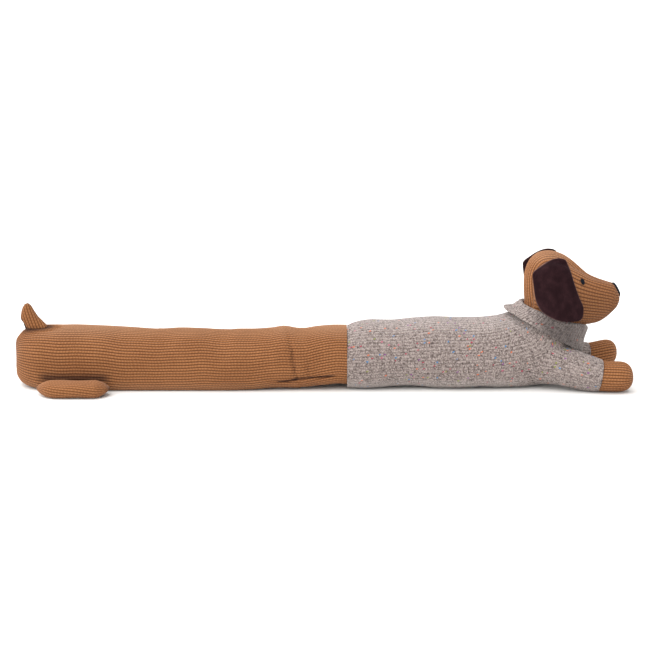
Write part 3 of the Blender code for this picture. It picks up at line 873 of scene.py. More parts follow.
@dataclass
class FilledTube:
    """A filled tube through sections that lean from a belly point to a back point."""

    sections: Sequence[Tuple[float, float, float, float, float, float]]
    ribs: int
    aspect: float = 1.0

    def surface(
        self, rows: int, points_per_rib: int, wander: Callable[[np.ndarray], np.ndarray]
    ) -> Surface:
        """Builds the tube's skin.

        Args:
            rows: sections along the tube.
            points_per_rib: points round it for each rib.
            wander: how far the ribs stray, in ribs, at a distance along the tube.

        Returns:
            The skin, with whole rib numbers on top of the ribs.
        """
        table = np.array(self.sections, float)
        back, belly = table[:, 0:2], table[:, 2:4]
        shape = np.concatenate([(back + belly) / 2.0, (back - belly) / 2.0, table[:, 4:5]], axis=1)
        keys = summed(np.linalg.norm(np.diff(shape, axis=0), axis=1))
        along = np.linspace(0.0, keys[-1], rows)
        values = flowing(keys, np.concatenate([shape, table[:, 5:6]], axis=1), along)
        count = self.ribs * points_per_rib
        rib = np.arange(count + 1) / points_per_rib
        stray = wander(along)
        points = np.zeros((rows, count + 1, 3))
        for row, (mid_x, mid_z, half_x, half_z, half_width, squareness) in enumerate(values):
            ring = (rib + stray[row]) / self.ribs
            across, up = unit_section(ring, self.aspect, squareness)
            points[row, :, 0] = mid_x + up * half_x
            points[row, :, 1] = across * half_width
            points[row, :, 2] = mid_z + up * half_z
        yarn = np.stack(np.broadcast_arrays(along[:, None], rib[None, :]), axis=2)
        return Surface(points, yarn, True).grounded()


@dataclass
class HindBody:
    """The ribbed rear half of the body, closed by an upright seam at the seat."""

    ribs: int = 74
    rib_depth: float = 1.25
    rows: int = 158
    sections: Sequence[Tuple[float, ...]] = (
        (-453.0, 25.0, 61.0, 0.5, 2.4),
        (-451.6, 15.0, 67.5, 13.0, 2.6),
        (-447.6, 8.5, 74.0, 23.0, 2.8),
        (-441.4, 4.0, 80.0, 32.5, 3.2),
        (-430.0, 0.5, 84.8, 41.5, 3.8),
        (-412.0, -1.5, 87.0, 48.0, 4.8),
        (-380.0, -2.0, 86.9, 50.4, 6.0),
        (-329.0, -2.0, 85.2, 50.4, 6.4),
        (-280.0, -2.0, 82.0, 50.2, 6.4),
        (-241.0, -2.0, 79.4, 50.0, 6.4),
        (-209.0, -2.0, 80.9, 50.0, 6.4),
        (-182.0, -2.0, 80.2, 50.0, 6.4),
        (-146.0, -2.0, 77.8, 50.0, 6.2),
        (-126.0, -1.5, 79.6, 50.2, 6.0),
        (-100.0, 0.0, 80.1, 50.4, 5.6),
        (-80.0, 1.6, 81.2, 50.6, 5.2),
        (-60.0, 1.8, 84.6, 51.0, 4.8),
        (-38.0, 0.8, 81.8, 49.4, 4.4),
        (-29.0, 1.6, 81.6, 49.6, 4.2),
        (-12.0, 3.0, 84.2, 49.8, 3.8),
        (8.0, 4.4, 86.2, 50.0, 3.4),
        (19.0, 5.6, 86.6, 49.8, 3.2),
        (31.85, 3.6, 86.6, 49.4, 3.0),
    )
    slit: Sequence[Pair] = (
        (-71.0, 13.6), (-55.0, 14.6), (-42.0, 17.2), (-36.0, 18.9), (-14.0, 20.4), (18.0, 22.8),
    )
    # Creases on the right side: depth, place and width along, place and reach up
    creases: Sequence[Tuple[float, ...]] = (
        (1.1, -82.0, 3.6, 50.0, 20.0),
        (1.0, -66.0, 3.0, 60.0, 18.0),
        (2.2, -25.0, 2.8, 34.0, 16.0),
        (1.0, -8.0, 3.4, 46.0, 18.0),
        (0.8, 12.0, 4.0, 60.0, 16.0),
    )
    foot: Triple = (-361.0, 54.0, 20.0)
    tail: Triple = (-418.0, -6.0, 86.0)
    half_width: float = 50.0
    half_height: float = 44.0

    @staticmethod
    def wander(along: np.ndarray) -> np.ndarray:
        """How far the ribs stray from straight lines, in ribs."""
        long_waves = 0.28 * np.sin(along / 31.0 + 0.6) + 0.13 * np.sin(along / 13.7)
        return long_waves + 0.05 * np.sin(along / 7.3)

    @staticmethod
    def main_crease(z: np.ndarray) -> np.ndarray:
        """Where the deepest crease runs down the right side, at each height."""
        off_middle = z - 46.0
        return -46.0 - 0.0052 * off_middle * np.abs(off_middle) - 0.06 * off_middle

    def tube(self) -> FilledTube:
        """The body's tube."""
        rows = [
            (x, back, x, belly, width, square) for x, belly, back, width, square in self.sections
        ]
        return FilledTube(rows, self.ribs, self.half_width / self.half_height)

    def folds(self, points: np.ndarray) -> np.ndarray:
        """Depth of the hand-made unevenness, wrinkles and the sewn-up slit.

        Args:
            points: places on the skin.

        Returns:
            How far each is pushed out or pulled in.
        """
        x, y, z = points[..., 0], points[..., 1], points[..., 2]
        near = ease(-y, 20.0, 40.0)
        swell = 0.8 * np.sin(x / 27.0 + 0.8 * np.sin(z / 19.0)) * np.sin(z / 23.0 + 0.4)
        swell += 0.4 * np.sin(x / 11.3 + y / 17.0 + 1.3) * np.sin(z / 13.0 + 2.0)
        main = self.main_crease(z)
        crease = 4.2 * bell(x, main, 2.5) * bell(z, 44.0, 30.0)
        crease -= 1.6 * bell(x, main + 6.5, 4.0) * bell(z, 40.0, 22.0)
        for depth, place, width, height, reach in self.creases:
            crease += depth * bell(x, place, width) * bell(z, height, reach)
        line = np.interp(x, *zip(*self.slit))
        pull = 1.3 * bell(z, line, 4.2) * ease(x, -84.0, -64.0) * (1.0 - ease(x, 8.0, 28.0))
        top = 1.0 - 0.7 * ease(z, 74.0, 84.0)
        return swell * ease(z, 4.0, 18.0) * top - near * (crease + pull)

    def sewn_slit(self, points: np.ndarray) -> np.ndarray:
        """How much a place belongs to the sewn-up slit, from 0 to 1; the slit is sunk into the skin
        and painted with shade.
        """
        x, y, z = points[..., 0], points[..., 1], points[..., 2]
        starts, lines = zip(*self.slit)
        line = bell(z, np.interp(x, starts, lines), 1.35 + 0.8 * bell(x, -40.0, 7.0))
        ends = ease(x, starts[0], starts[0] + 6.0) * (1.0 - ease(x, starts[-1] - 8.0, starts[-1]))
        patchy = 0.85 + 0.25 * np.sin(x / 3.1 + 0.7) * np.sin(x / 5.3)
        return np.clip(line * ends * patchy, 0.0, 1.0) * (y < 0.0)

    def shadows(self, points: np.ndarray) -> np.ndarray:
        """Painted shadow where the foot pads and the tail lie against the body, and painted shade
        in the creases on the right side, from 0 to 1.
        """
        x, y, z = points[..., 0], points[..., 1], points[..., 2]
        foot_x, _, foot_z = self.foot
        pad = ease(-np.abs(x - foot_x), -58.0, -40.0) * bell(z, foot_z, 6.5)
        pad = pad * ease(np.abs(y), 30.0, 44.0)
        tail_x, tail_y, tail_z = self.tail
        round_tail = np.maximum(np.hypot((x - tail_x) / 21.0, (y - tail_y) / 13.0) - 0.75, 0.0)
        stump = bell(round_tail, 0.0, 0.45) * ease(z, tail_z - 14.0, tail_z - 4.0)
        crease = 0.45 * bell(x, self.main_crease(z), 1.7) * bell(z, 42.0, 22.0)
        crease += 0.2 * bell(x, -25.0, 1.8) * bell(z, 32.0, 12.0)
        return np.clip(0.75 * pad + 0.8 * stump + crease * (y < 0.0), 0.0, 1.0)

    def build(self, material: Material) -> Piece:
        """Makes the rear half.

        Args:
            material: the rib knit.

        Returns:
            The piece.
        """
        tube = self.tube()
        slack = tube.surface(96, 1, self.wander)
        held = np.zeros(slack.points.shape[:2], bool)
        held[-4:] = True
        x, y, z = slack.points[..., 0], np.abs(slack.points[..., 1]), slack.points[..., 2]
        held |= (z < 0.5) | ((np.abs(x - self.tail[0]) < 26.0) & (z > self.tail[2] - 14.0))
        held |= (np.abs(x - self.foot[0]) < 60.0) & (y > 28.0) & (z < 42.0)
        moves = Workbench.settled(slack, held, cap=2.5)
        skin = tube.surface(self.rows, 8, self.wander)
        skin.points = skin.points + Workbench.spread(moves, *skin.points.shape[:2])
        skin = skin.pushed(self.folds(skin.points))
        slit = self.sewn_slit(skin.points)
        end = ease(skin.points[..., 0], -452.0, -446.0)
        relief = rib_relief(skin.yarn[..., 1], self.rib_depth) * (0.35 + 0.65 * end)
        skin = skin.pushed(relief + 0.25 - 2.4 * slit).grounded()
        # Painted shade: the sunk line of the slit, and painted shadows by the foot pads, the tail
        # and the creases
        dark = 1.1 * slit + self.shadows(skin.points)
        height = skin.points[..., 2]
        # Painted light: the top lighter as if lit from above, and the bottom lighter as if lit from
        # the floor
        painted_light = 0.04 * ease(height, 72.0, 82.0) + 0.06 * ease(height, 80.0, 88.0)
        painted_light += 0.045 * (1.0 - ease(height, 3.0, 18.0))
        skin.shade = np.clip(1.0 - dark, 0.0, 1.0) + painted_light * (dark < 0.05)
        piece = Workbench.sew("knit_hind_body", skin)
        return Workbench.dress(piece, "hind_body", material, Slot.RIB)


@dataclass
class JumperBody:
    """The tweed front half, from the waist round the chest to the neck."""

    rows_of_stitches: int = 68
    relief: float = 0.75
    sections: Sequence[Tuple[float, ...]] = (
        (32.15, 86.8, 32.15, -1.5, 49.8, 3.0),
        (40.0, 90.0, 40.0, -1.5, 51.2, 3.2),
        (52.0, 93.0, 52.0, -1.5, 52.0, 3.4),
        (67.0, 94.8, 67.0, -0.6, 51.8, 3.6),
        (84.0, 94.2, 84.0, 1.0, 51.4, 3.6),
        (101.0, 94.0, 101.0, 2.4, 51.2, 3.6),
        (132.0, 97.2, 132.0, 2.8, 51.2, 3.6),
        (166.0, 99.4, 166.0, -0.4, 51.0, 3.6),
        (194.0, 98.2, 194.0, -0.6, 50.8, 3.6),
        (225.0, 98.8, 225.0, 1.0, 50.8, 3.4),
        (248.0, 101.0, 250.0, -0.6, 50.8, 3.1),
        (259.0, 103.4, 285.0, -0.8, 51.0, 2.7),
        (267.0, 105.8, 312.0, 1.0, 50.5, 2.3),
        (273.0, 107.6, 334.0, 7.0, 49.6, 2.2),
        (278.0, 109.4, 349.0, 20.0, 48.2, 2.1),
        (281.6, 111.0, 357.5, 37.0, 46.4, 2.1),
        (283.8, 112.4, 360.8, 54.0, 44.2, 2.0),
        (285.3, 112.8, 360.7, 69.2, 42.0, 2.0),
    )

    @staticmethod
    def wander(along: np.ndarray) -> np.ndarray:
        """How far the rows of stitches stray, in rows."""
        return 0.2 * np.sin(along / 36.0) + 0.12 * np.sin(along / 15.0 + 1.0)

    def folds(self, points: np.ndarray) -> np.ndarray:
        """Depth of the soft unevenness of the filled jumper."""
        x, y, z = points[..., 0], points[..., 1], points[..., 2]
        swell = 0.9 * np.sin(x / 29.0 + 0.5) * np.sin(z / 24.0 + 0.9)
        swell += 0.4 * np.sin(x / 12.0 + z / 15.0) * np.sin(y / 14.0 + z / 31.0)
        top = 1.0 - 0.7 * ease(z, 84.0, 95.0)
        return swell * ease(z, 2.0, 16.0) * top

    def skin(self) -> Surface:
        """The jumper's outer face.

        Returns:
            The face, with its relief.
        """
        tube = FilledTube(self.sections, self.rows_of_stitches)
        slack = tube.surface(84, 1, self.wander)
        held = np.zeros(slack.points.shape[:2], bool)
        held[:3] = held[-12:] = True
        held |= slack.points[..., 2] < 0.5
        moves = Workbench.settled(slack, held, cap=2.0)
        skin = tube.surface(196, 6, self.wander)
        skin.points = skin.points + Workbench.spread(moves, *skin.points.shape[:2])
        skin = skin.pushed(self.folds(skin.points))
        relief = rib_relief(skin.yarn[..., 1], self.relief, 0.8) + 0.15
        skin = skin.pushed(relief).grounded()
        height = skin.points[..., 2]
        # Painted light: the lower flanks lighter as if lit from the floor, fading out under the
        # sleeves, and the top lighter as if lit from above
        belly = (1.0 - ease(height, 3.0, 24.0)) * (1.0 - ease(skin.points[..., 0], 262.0, 302.0))
        skin.shade = 1.0 + 0.15 * belly + 0.07 * ease(height, 82.0, 98.0)
        return skin

    def build(self, material: Material) -> Piece:
        """Makes the jumper's body.

        Args:
            material: the tweed knit.

        Returns:
            The piece.
        """
        piece = Workbench.sew("knit_jumper_body", self.skin())
        return Workbench.dress(piece, "jumper_body", material, Slot.TWEED)


@dataclass
class ForeLeg:
    """A sleeve with its paw."""

    side: Side
    sections: Sequence[Tuple[float, ...]] = (
        (290.0, 12.0, 44.0, 30.0, 36.0),
        (308.0, 17.5, 42.6, 32.0, 37.4),
        (326.0, 24.0, 39.6, 30.0, 33.4),
        (345.0, 32.0, 34.9, 27.4, 29.1),
        (366.0, 39.0, 29.3, 25.5, 27.3),
        (382.0, 42.5, 25.5, 24.0, 25.8),
        (396.2, 45.0, 22.7, 22.6, 22.9),
    )
    cuff_tilt: float = math.radians(9.0)
    paw_length: float = 47.0
    paw_radius: float = 22.0
    paw_ribs: int = 32
    paw_bluntness: float = 6.0
    sleeve_rows: int = 34
    spread: float = field(init=False)
    lift: float = field(init=False)
    yaw: float = field(init=False)
    shortening: float = field(init=False)
    paw_rise: float = field(init=False)

    def __post_init__(self) -> None:
        """Sets the left leg further out, back and higher than the right one."""
        free = self.side is Side.LEFT
        self.spread, self.lift = (7.0, 4.6) if free else (0.0, 0.0)
        self.yaw = math.radians(12.0) if free else 0.0
        self.shortening = 6.0 if free else 0.0
        self.paw_rise = 6.0 if free else -1.6

    def rings(self, table: np.ndarray, share: np.ndarray, angle: np.ndarray) -> np.ndarray:
        """Sections of the leg.

        Args:
            table: centre, half width and half height of each.
            share: how far along the sleeve each is, past 1 in the paw.
            angle: the places round the leg.

        Returns:
            Their points.
        """
        tilt = (self.cuff_tilt * np.where(share <= 1.0, share, 2.0 - share))[:, None]
        yaw = (self.yaw * np.minimum(share, 1.0))[:, None]
        across = table[:, 3:4] * np.cos(angle)[None, :]
        up = table[:, 4:5] * np.sin(angle)[None, :]
        x = table[:, 0:1] + up * np.sin(tilt) - across * np.sin(yaw)
        y = table[:, 1:2] + across * np.cos(yaw)
        z = table[:, 2:3] + up * np.cos(tilt)
        return np.stack([x, y, z], axis=2)

    @staticmethod
    def roots(path: np.ndarray, chest: BVHTree) -> np.ndarray:
        """Where each line of the sleeve leaves the chest.

        Args:
            path: the sleeve's sections, from inside the chest to the cuff.
            chest: the jumper's skin.

        Returns:
            One place for each line, in sections, half a section clear of the skin.
        """
        starts = np.zeros(path.shape[1])
        for column in range(path.shape[1]):
            line = path[:, column]
            for row in range(len(line) - 1, 0, -1):
                step = Vector(line[row - 1] - line[row])
                hit = chest.ray_cast(Vector(line[row]), step.normalized(), step.length)
                if hit[0] is not None:
                    starts[column] = row - hit[3] / step.length
                    break
        return np.minimum(starts + 0.5, len(path) - 8)

    def sleeve(self, chest: BVHTree, material: Material) -> Piece:
        """Makes the sleeve, from where it leaves the chest to the cuff.

        Args:
            chest: the jumper's skin.
            material: the tweed knit.

        Returns:
            The piece.
        """
        known = np.array(self.sections, float)
        x = np.linspace(known[0, 0], known[-1, 0], 90)
        table = flowing(known[:, 0], known, x)
        share = np.clip((x - 316.0) / (x[-1] - 316.0), 0.0, 1.0)
        table[:, 0] -= self.shortening * share
        table[:, 1] = self.side.value * (table[:, 1] + self.spread * share)
        table[:, 2] += self.lift * share**3
        count = self.sleeve_rows * 6
        angle = 2.0 * math.pi * np.arange(count + 1) / count
        path = self.rings(table, share, angle)
        starts = self.roots(path, chest)[None, :]
        places = starts + (len(x) - 1 - starts) * np.linspace(0.0, 1.0, 64)[:, None]
        low = np.minimum(places.astype(int), len(x) - 2)
        part = (places - low)[..., None]
        columns = np.arange(count + 1)[None, :]
        points = path[low, columns] * (1.0 - part) + path[low + 1, columns] * part
        cuff = x[-1] - x[0]
        distance = places / (len(x) - 1) * cuff
        row_number = np.broadcast_to(columns / 6.0, distance.shape)
        skin = Surface(points, np.stack([distance, row_number], axis=2), True)
        wave = 0.6 * np.sin(points[..., 0] / 9.0 + points[..., 2] / 11.0)
        wave = wave * np.sin(points[..., 2] / 9.0) * ease(distance, 40.0, 60.0)
        skin = skin.pushed(rib_relief(row_number, 0.7, 0.8) + 0.1 + wave).grounded()
        # Painted shade at the cuff's end, where the paw goes in
        skin.shade = 1.0 - 0.15 * ease(distance, cuff - 1.5, cuff)
        piece = Workbench.sew(f"knit_sleeve_{self.side.label}", skin)
        node = f"jumper_sleeve_{self.side.label}"
        return Workbench.dress(piece, node, material, Slot.TWEED)

    def paw(self, material: Material) -> Piece:
        """Makes the ribbed paw, blunt at its tip.

        Args:
            material: the rib knit.

        Returns:
            The piece.
        """
        tip_steps = 1.0 - 0.2 * np.cos(np.linspace(0.0, 1.54, 22)[1:])
        step = np.concatenate([np.linspace(0.0, 0.8, 34), tip_steps])
        size = self.paw_radius * (1.0 - step**self.paw_bluntness) ** (1.0 / 2.2)
        start = self.sections[-1]
        drift = 2.0 + self.paw_length * math.tan(self.yaw)
        table = np.stack(
            [
                start[0] - self.shortening + 0.5 + self.paw_length * step,
                self.side.value * (start[1] + self.spread + drift * step),
                start[2] + self.lift + self.paw_rise * step,
                size,
                size,
            ],
            axis=1,
        )
        count = self.paw_ribs * 8
        rib = np.arange(count + 1) / 8.0
        points = self.rings(table, 1.0 + step, 2.0 * math.pi * rib / self.paw_ribs)
        distance = step * self.paw_length
        yarn = np.stack(np.broadcast_arrays(distance[:, None], rib[None, :]), axis=2)
        skin = Surface(points, yarn, True)
        relief = rib_relief(rib[None, :], 1.15) * (size / self.paw_radius)[:, None]
        lump = 0.5 * np.sin(points[..., 0] / 8.0 + 1.0) * np.sin(points[..., 2] / 9.0)
        cuff = 0.8 * bell(distance, 0.0, 1.5)[:, None]
        skin = skin.pushed(relief + 0.2 + lump - cuff).grounded()
        # Painted shade at the paw's gathered tip and where it leaves the cuff
        tip = np.broadcast_to(ease(step, 0.985, 1.0)[:, None], relief.shape)
        skin.shade = 1.0 - 0.3 * tip - 0.2 * bell(distance, 0.0, 1.2)[:, None]
        piece = Workbench.sew(f"knit_paw_{self.side.label}", skin)
        node = f"fore_paw_{self.side.label}"
        return Workbench.dress(piece, node, material, Slot.RIB)


# ---------------------------------------------------------------- flat-cut stuffed pieces


class CutPanel:
    """A flat-cut piece of knit: an outline with rows of points along its ribs."""

    def __init__(
        self,
        outline: np.ndarray,
        rib_angle: float,
        pitch: float,
        per_rib: int,
        columns: int,
        serration: float = 0.0,
    ) -> None:
        """Lays the rows.

        Args:
            outline: a closed curve that runs anticlockwise.
            rib_angle: the direction of the ribs.
            pitch: distance between ribs.
            per_rib: rows of points for each rib.
            columns: faces along each row.
            serration: how far the ribs stand out at the cut edge.
        """
        self.angle = rib_angle
        self.pitch = pitch
        self.outline = turned(np.asarray(outline, float), rib_angle)
        along, over = self.outline[:, 0], self.outline[:, 1]
        self.along = np.linspace(along.min() + 1e-3, along.max() - 1e-3, 900)
        self.over = np.linspace(over.min() + 1e-3, over.max() - 1e-3, 900)
        self.low, self.high = self.spans(0, self.along)
        self.first, self.last = self.spans(1, self.over)
        margin = 0.05
        count = round((over.max() - over.min()) / (pitch / per_rib)) + 1
        half = (over.max() - over.min()) / 2.0 - margin
        half_turn = np.linspace(0.0, math.pi, count)
        rows = (over.max() + over.min()) / 2.0 - half * np.cos(half_turn)
        share = 0.5 - 0.5 * np.cos(math.pi * np.arange(columns + 1) / columns)
        teeth = serration * np.cos(2.0 * math.pi * (rows - over.min()) / pitch) * np.sin(half_turn)
        start = (np.interp(rows, self.over, self.first) - teeth)[:, None]
        end = (np.interp(rows, self.over, self.last) + teeth)[:, None]
        lengths = start + (end - start) * share[None, :]
        heights = np.broadcast_to(rows[:, None], lengths.shape)
        flat = turned(np.stack([lengths, heights], axis=2).reshape(-1, 2), -rib_angle)
        self.u = flat[:, 0].reshape(lengths.shape)
        self.v = flat[:, 1].reshape(lengths.shape)
        self.full = self.fullness(self.u, self.v)
        self.full[0] = self.full[-1] = self.full[:, 0] = self.full[:, -1] = 0.0
        self.lengths, self.heights = lengths, heights
        self.rib = (heights - over.min()) / pitch
        self.yarn = np.stack([lengths, self.rib], axis=2)

    def drape(self, depth: Callable[..., np.ndarray], bend: Optional[np.ndarray] = None) -> None:
        """Spaces the ribs evenly over the filled form.

        Args:
            depth: how far the filling lifts a place, from its two places and its fullness.
            bend: how far the ribs are pulled aside at each point.
        """
        along = np.linspace(self.lengths.min(), self.lengths.max(), 420)
        over = np.linspace(self.heights.min(), self.heights.max(), 700)
        grid = np.stack(np.meshgrid(along, over, indexing="ij"), axis=2)
        flat = turned(grid.reshape(-1, 2), -self.angle)
        u, v = flat[:, 0].reshape(grid.shape[:2]), flat[:, 1].reshape(grid.shape[:2])
        lift = depth(u, v, self.fullness(u, v))
        steps = np.hypot(over[1] - over[0], np.diff(lift, axis=1))
        arc = np.concatenate([np.zeros((len(along), 1)), np.cumsum(steps, axis=1)], axis=1)
        arc -= arc[:, len(over) // 2][:, None]
        i = (self.lengths - along[0]) / (along[1] - along[0])
        j = (self.heights - over[0]) / (over[1] - over[0])
        length = between_cells(arc, i, j)
        if bend is not None:
            length = length + bend
        self.rib = length / self.pitch
        self.yarn = np.stack([self.lengths, self.rib], axis=2)

    def spans(self, axis: int, values: np.ndarray) -> Tuple[np.ndarray, np.ndarray]:
        """Lowest and highest place where the outline crosses each of a set of lines.

        Args:
            axis: 0 for upright lines and 1 for level ones.
            values: where the lines stand.

        Returns:
            The lowest and the highest places.
        """
        start, end = self.outline, np.roll(self.outline, -1, axis=0)
        low = start[:, axis][None, :] - values[:, None]
        high = end[:, axis][None, :] - values[:, None]
        crossing = (low <= 0.0) != (high <= 0.0)
        share = low / np.where(crossing, low - high, 1.0)
        other = 1 - axis
        places = start[:, other] + share * (end[:, other] - start[:, other])
        lowest = np.where(crossing, places, np.inf).min(axis=1)
        return lowest, np.where(crossing, places, -np.inf).max(axis=1)

    def fullness(self, u: np.ndarray, v: np.ndarray) -> np.ndarray:
        """How full the piece is at places of its plane.

        Args:
            u: places along.
            v: places up.

        Returns:
            0 at the edge and outside it, and 1 in the middle.
        """
        flat = turned(np.stack([np.ravel(u), np.ravel(v)], axis=1), self.angle)
        along, over = flat[:, 0], flat[:, 1]
        first = np.interp(over, self.over, self.first)
        last = np.interp(over, self.over, self.last)
        low = np.interp(along, self.along, self.low)
        high = np.interp(along, self.along, self.high)
        s = (2.0 * along - first - last) / np.maximum(last - first, 1e-6)
        t = (2.0 * over - low - high) / np.maximum(high - low, 1e-6)
        inside = np.maximum(1.0 - s * s, 0.0) * np.maximum(1.0 - t * t, 0.0)
        inside[(over < self.over[0]) | (over > self.over[-1])] = 0.0
        inside[(along < self.along[0]) | (along > self.along[-1])] = 0.0
        return (inside**0.25).reshape(np.shape(u))

    def relief(self, depth: float) -> np.ndarray:
        """Ribs that fade out at the edge."""
        return rib_relief(self.rib, depth) * np.clip(self.full * 1.6, 0.0, 1.0)


@dataclass
class HindFoot:
    """A flat oval pad beside the body."""

    side: Side
    outline: Sequence[Pair] = (
        (-413.5, 66.0), (-407.0, 79.0), (-394.0, 91.0), (-378.0, 95.0), (-340.0, 95.0),
        (-322.0, 92.0), (-310.0, 79.0), (-307.5, 68.0), (-313.0, 60.0), (-326.0, 54.8),
        (-345.0, 52.0), (-372.0, 52.0), (-396.0, 54.2), (-409.0, 59.5),
    )
    half_thickness: float = 11.2
    middle: float = 10.2
    ribs: int = 28
    end_length: float = 23.0
    drift: float = 0.13

    def build(self, material: Material) -> Piece:
        """Makes the pad, a short tube that is gathered at both ends.

        Args:
            material: the rib knit.

        Returns:
            The piece.
        """
        panel = CutPanel(smooth_closed(self.outline), 0.0, RIB_PITCH, 8, 8)
        share = 0.5 - 0.5 * np.cos(np.linspace(0.0, math.pi, 112))
        x = panel.along[0] + (panel.along[-1] - panel.along[0]) * share
        low = np.interp(x, panel.along, panel.low)
        high = np.interp(x, panel.along, panel.high)
        half_width = np.maximum((high - low) / 2.0, 0.02)
        from_end = np.minimum(np.minimum(x - x[0], x[-1] - x) / self.end_length, 1.0)
        full = np.maximum(1.0 - (1.0 - from_end) ** 1.9, 0.02) ** 0.8
        count = self.ribs * 8
        angle = np.linspace(0.0, 2.0 * math.pi, RING_SAMPLES)
        across, up = rounded(np.cos(angle), 0.9), rounded(np.sin(angle), 0.72)
        arc = summed(np.hypot(np.diff(across) * 2.0, np.diff(up)))
        wanted = np.linspace(0.0, arc[-1], count + 1)
        across, up = np.interp(wanted, arc, across), np.interp(wanted, arc, up)
        y = ((low + high) / 2.0)[:, None] + half_width[:, None] * across[None, :]
        lump = 0.5 * np.sin(x / 9.0)[:, None] * np.sin(y / 8.0) * full[:, None]
        z = self.middle + full[:, None] * self.half_thickness * up[None, :] + lump
        x = np.broadcast_to(x[:, None], y.shape)
        rib = np.arange(count + 1)[None, :] / 8.0 + self.drift * (x - x.mean()) / RIB_PITCH
        points = np.stack([x, self.side.value * y, z], axis=2)
        skin = Surface(points, np.stack([x, rib], axis=2), True)
        skin = skin.pushed((rib_relief(rib, 1.15) + 0.2) * full[:, None]).grounded()
        # Painted shade towards the gathered ends
        skin.shade = np.broadcast_to(1.0 - 0.3 * (1.0 - ease(full, 0.1, 0.5))[:, None], y.shape)
        piece = Workbench.sew(f"knit_hind_foot_{self.side.label}", skin)
        node = f"hind_foot_{self.side.label}"
        return Workbench.dress(piece, node, material, Slot.RIB)


@dataclass
class Tail:
    """A leaf-shaped stuffed tail that stands on the back."""

    outline: Sequence[Pair] = (
        (-430.0, 74.0), (-436.5, 90.0), (-442.6, 98.5), (-442.0, 109.0), (-438.5, 118.0),
        (-433.5, 121.8), (-428.0, 119.0), (-423.5, 111.0), (-418.0, 102.5), (-410.5, 94.5),
        (-403.5, 86.0), (-402.0, 74.0),
    )
    half_thickness: float = 9.5
    lean: float = math.radians(108.0)
    y: float = -6.0
    seat: Triple = (-433.0, -6.0, 84.9)
    seat_normal: Triple = (0.115, 0.12, -1.0)

    def build(self, material: Material) -> Piece:
        """Makes the tail.

        Args:
            material: the rib knit.

        Returns:
            The piece.
        """
        panel = CutPanel(smooth_closed(self.outline), self.lean, 4.3, 10, 44, 0.5)
        panel.drape(lambda u, v, full: full * self.half_thickness)
        faces = []
        for direction in (-1.0, 1.0):
            y = self.y + direction * panel.full * self.half_thickness
            points = np.stack([panel.u, y, panel.v], axis=2)
            face = Surface(points, panel.yarn, False, (0.0, direction, 0.0))
            base = 1.0 - ease(panel.v - 0.1 * (self.seat[0] - panel.u), 84.0, 88.5)
            face = face.pushed(panel.relief(1.3) - 1.2 * base * (panel.full > 0.0))
            # Painted shadow along the base, where the tail sits on the back
            face.shade = 1.0 - 0.75 * base
            faces.append(face)
        piece = Workbench.sew("knit_tail", *faces)
        Workbench.cut(piece, self.seat, Vector(self.seat_normal).normalized())
        return Workbench.dress(piece, "tail", material, Slot.RIB)


# ---------------------------------------------------------------- head


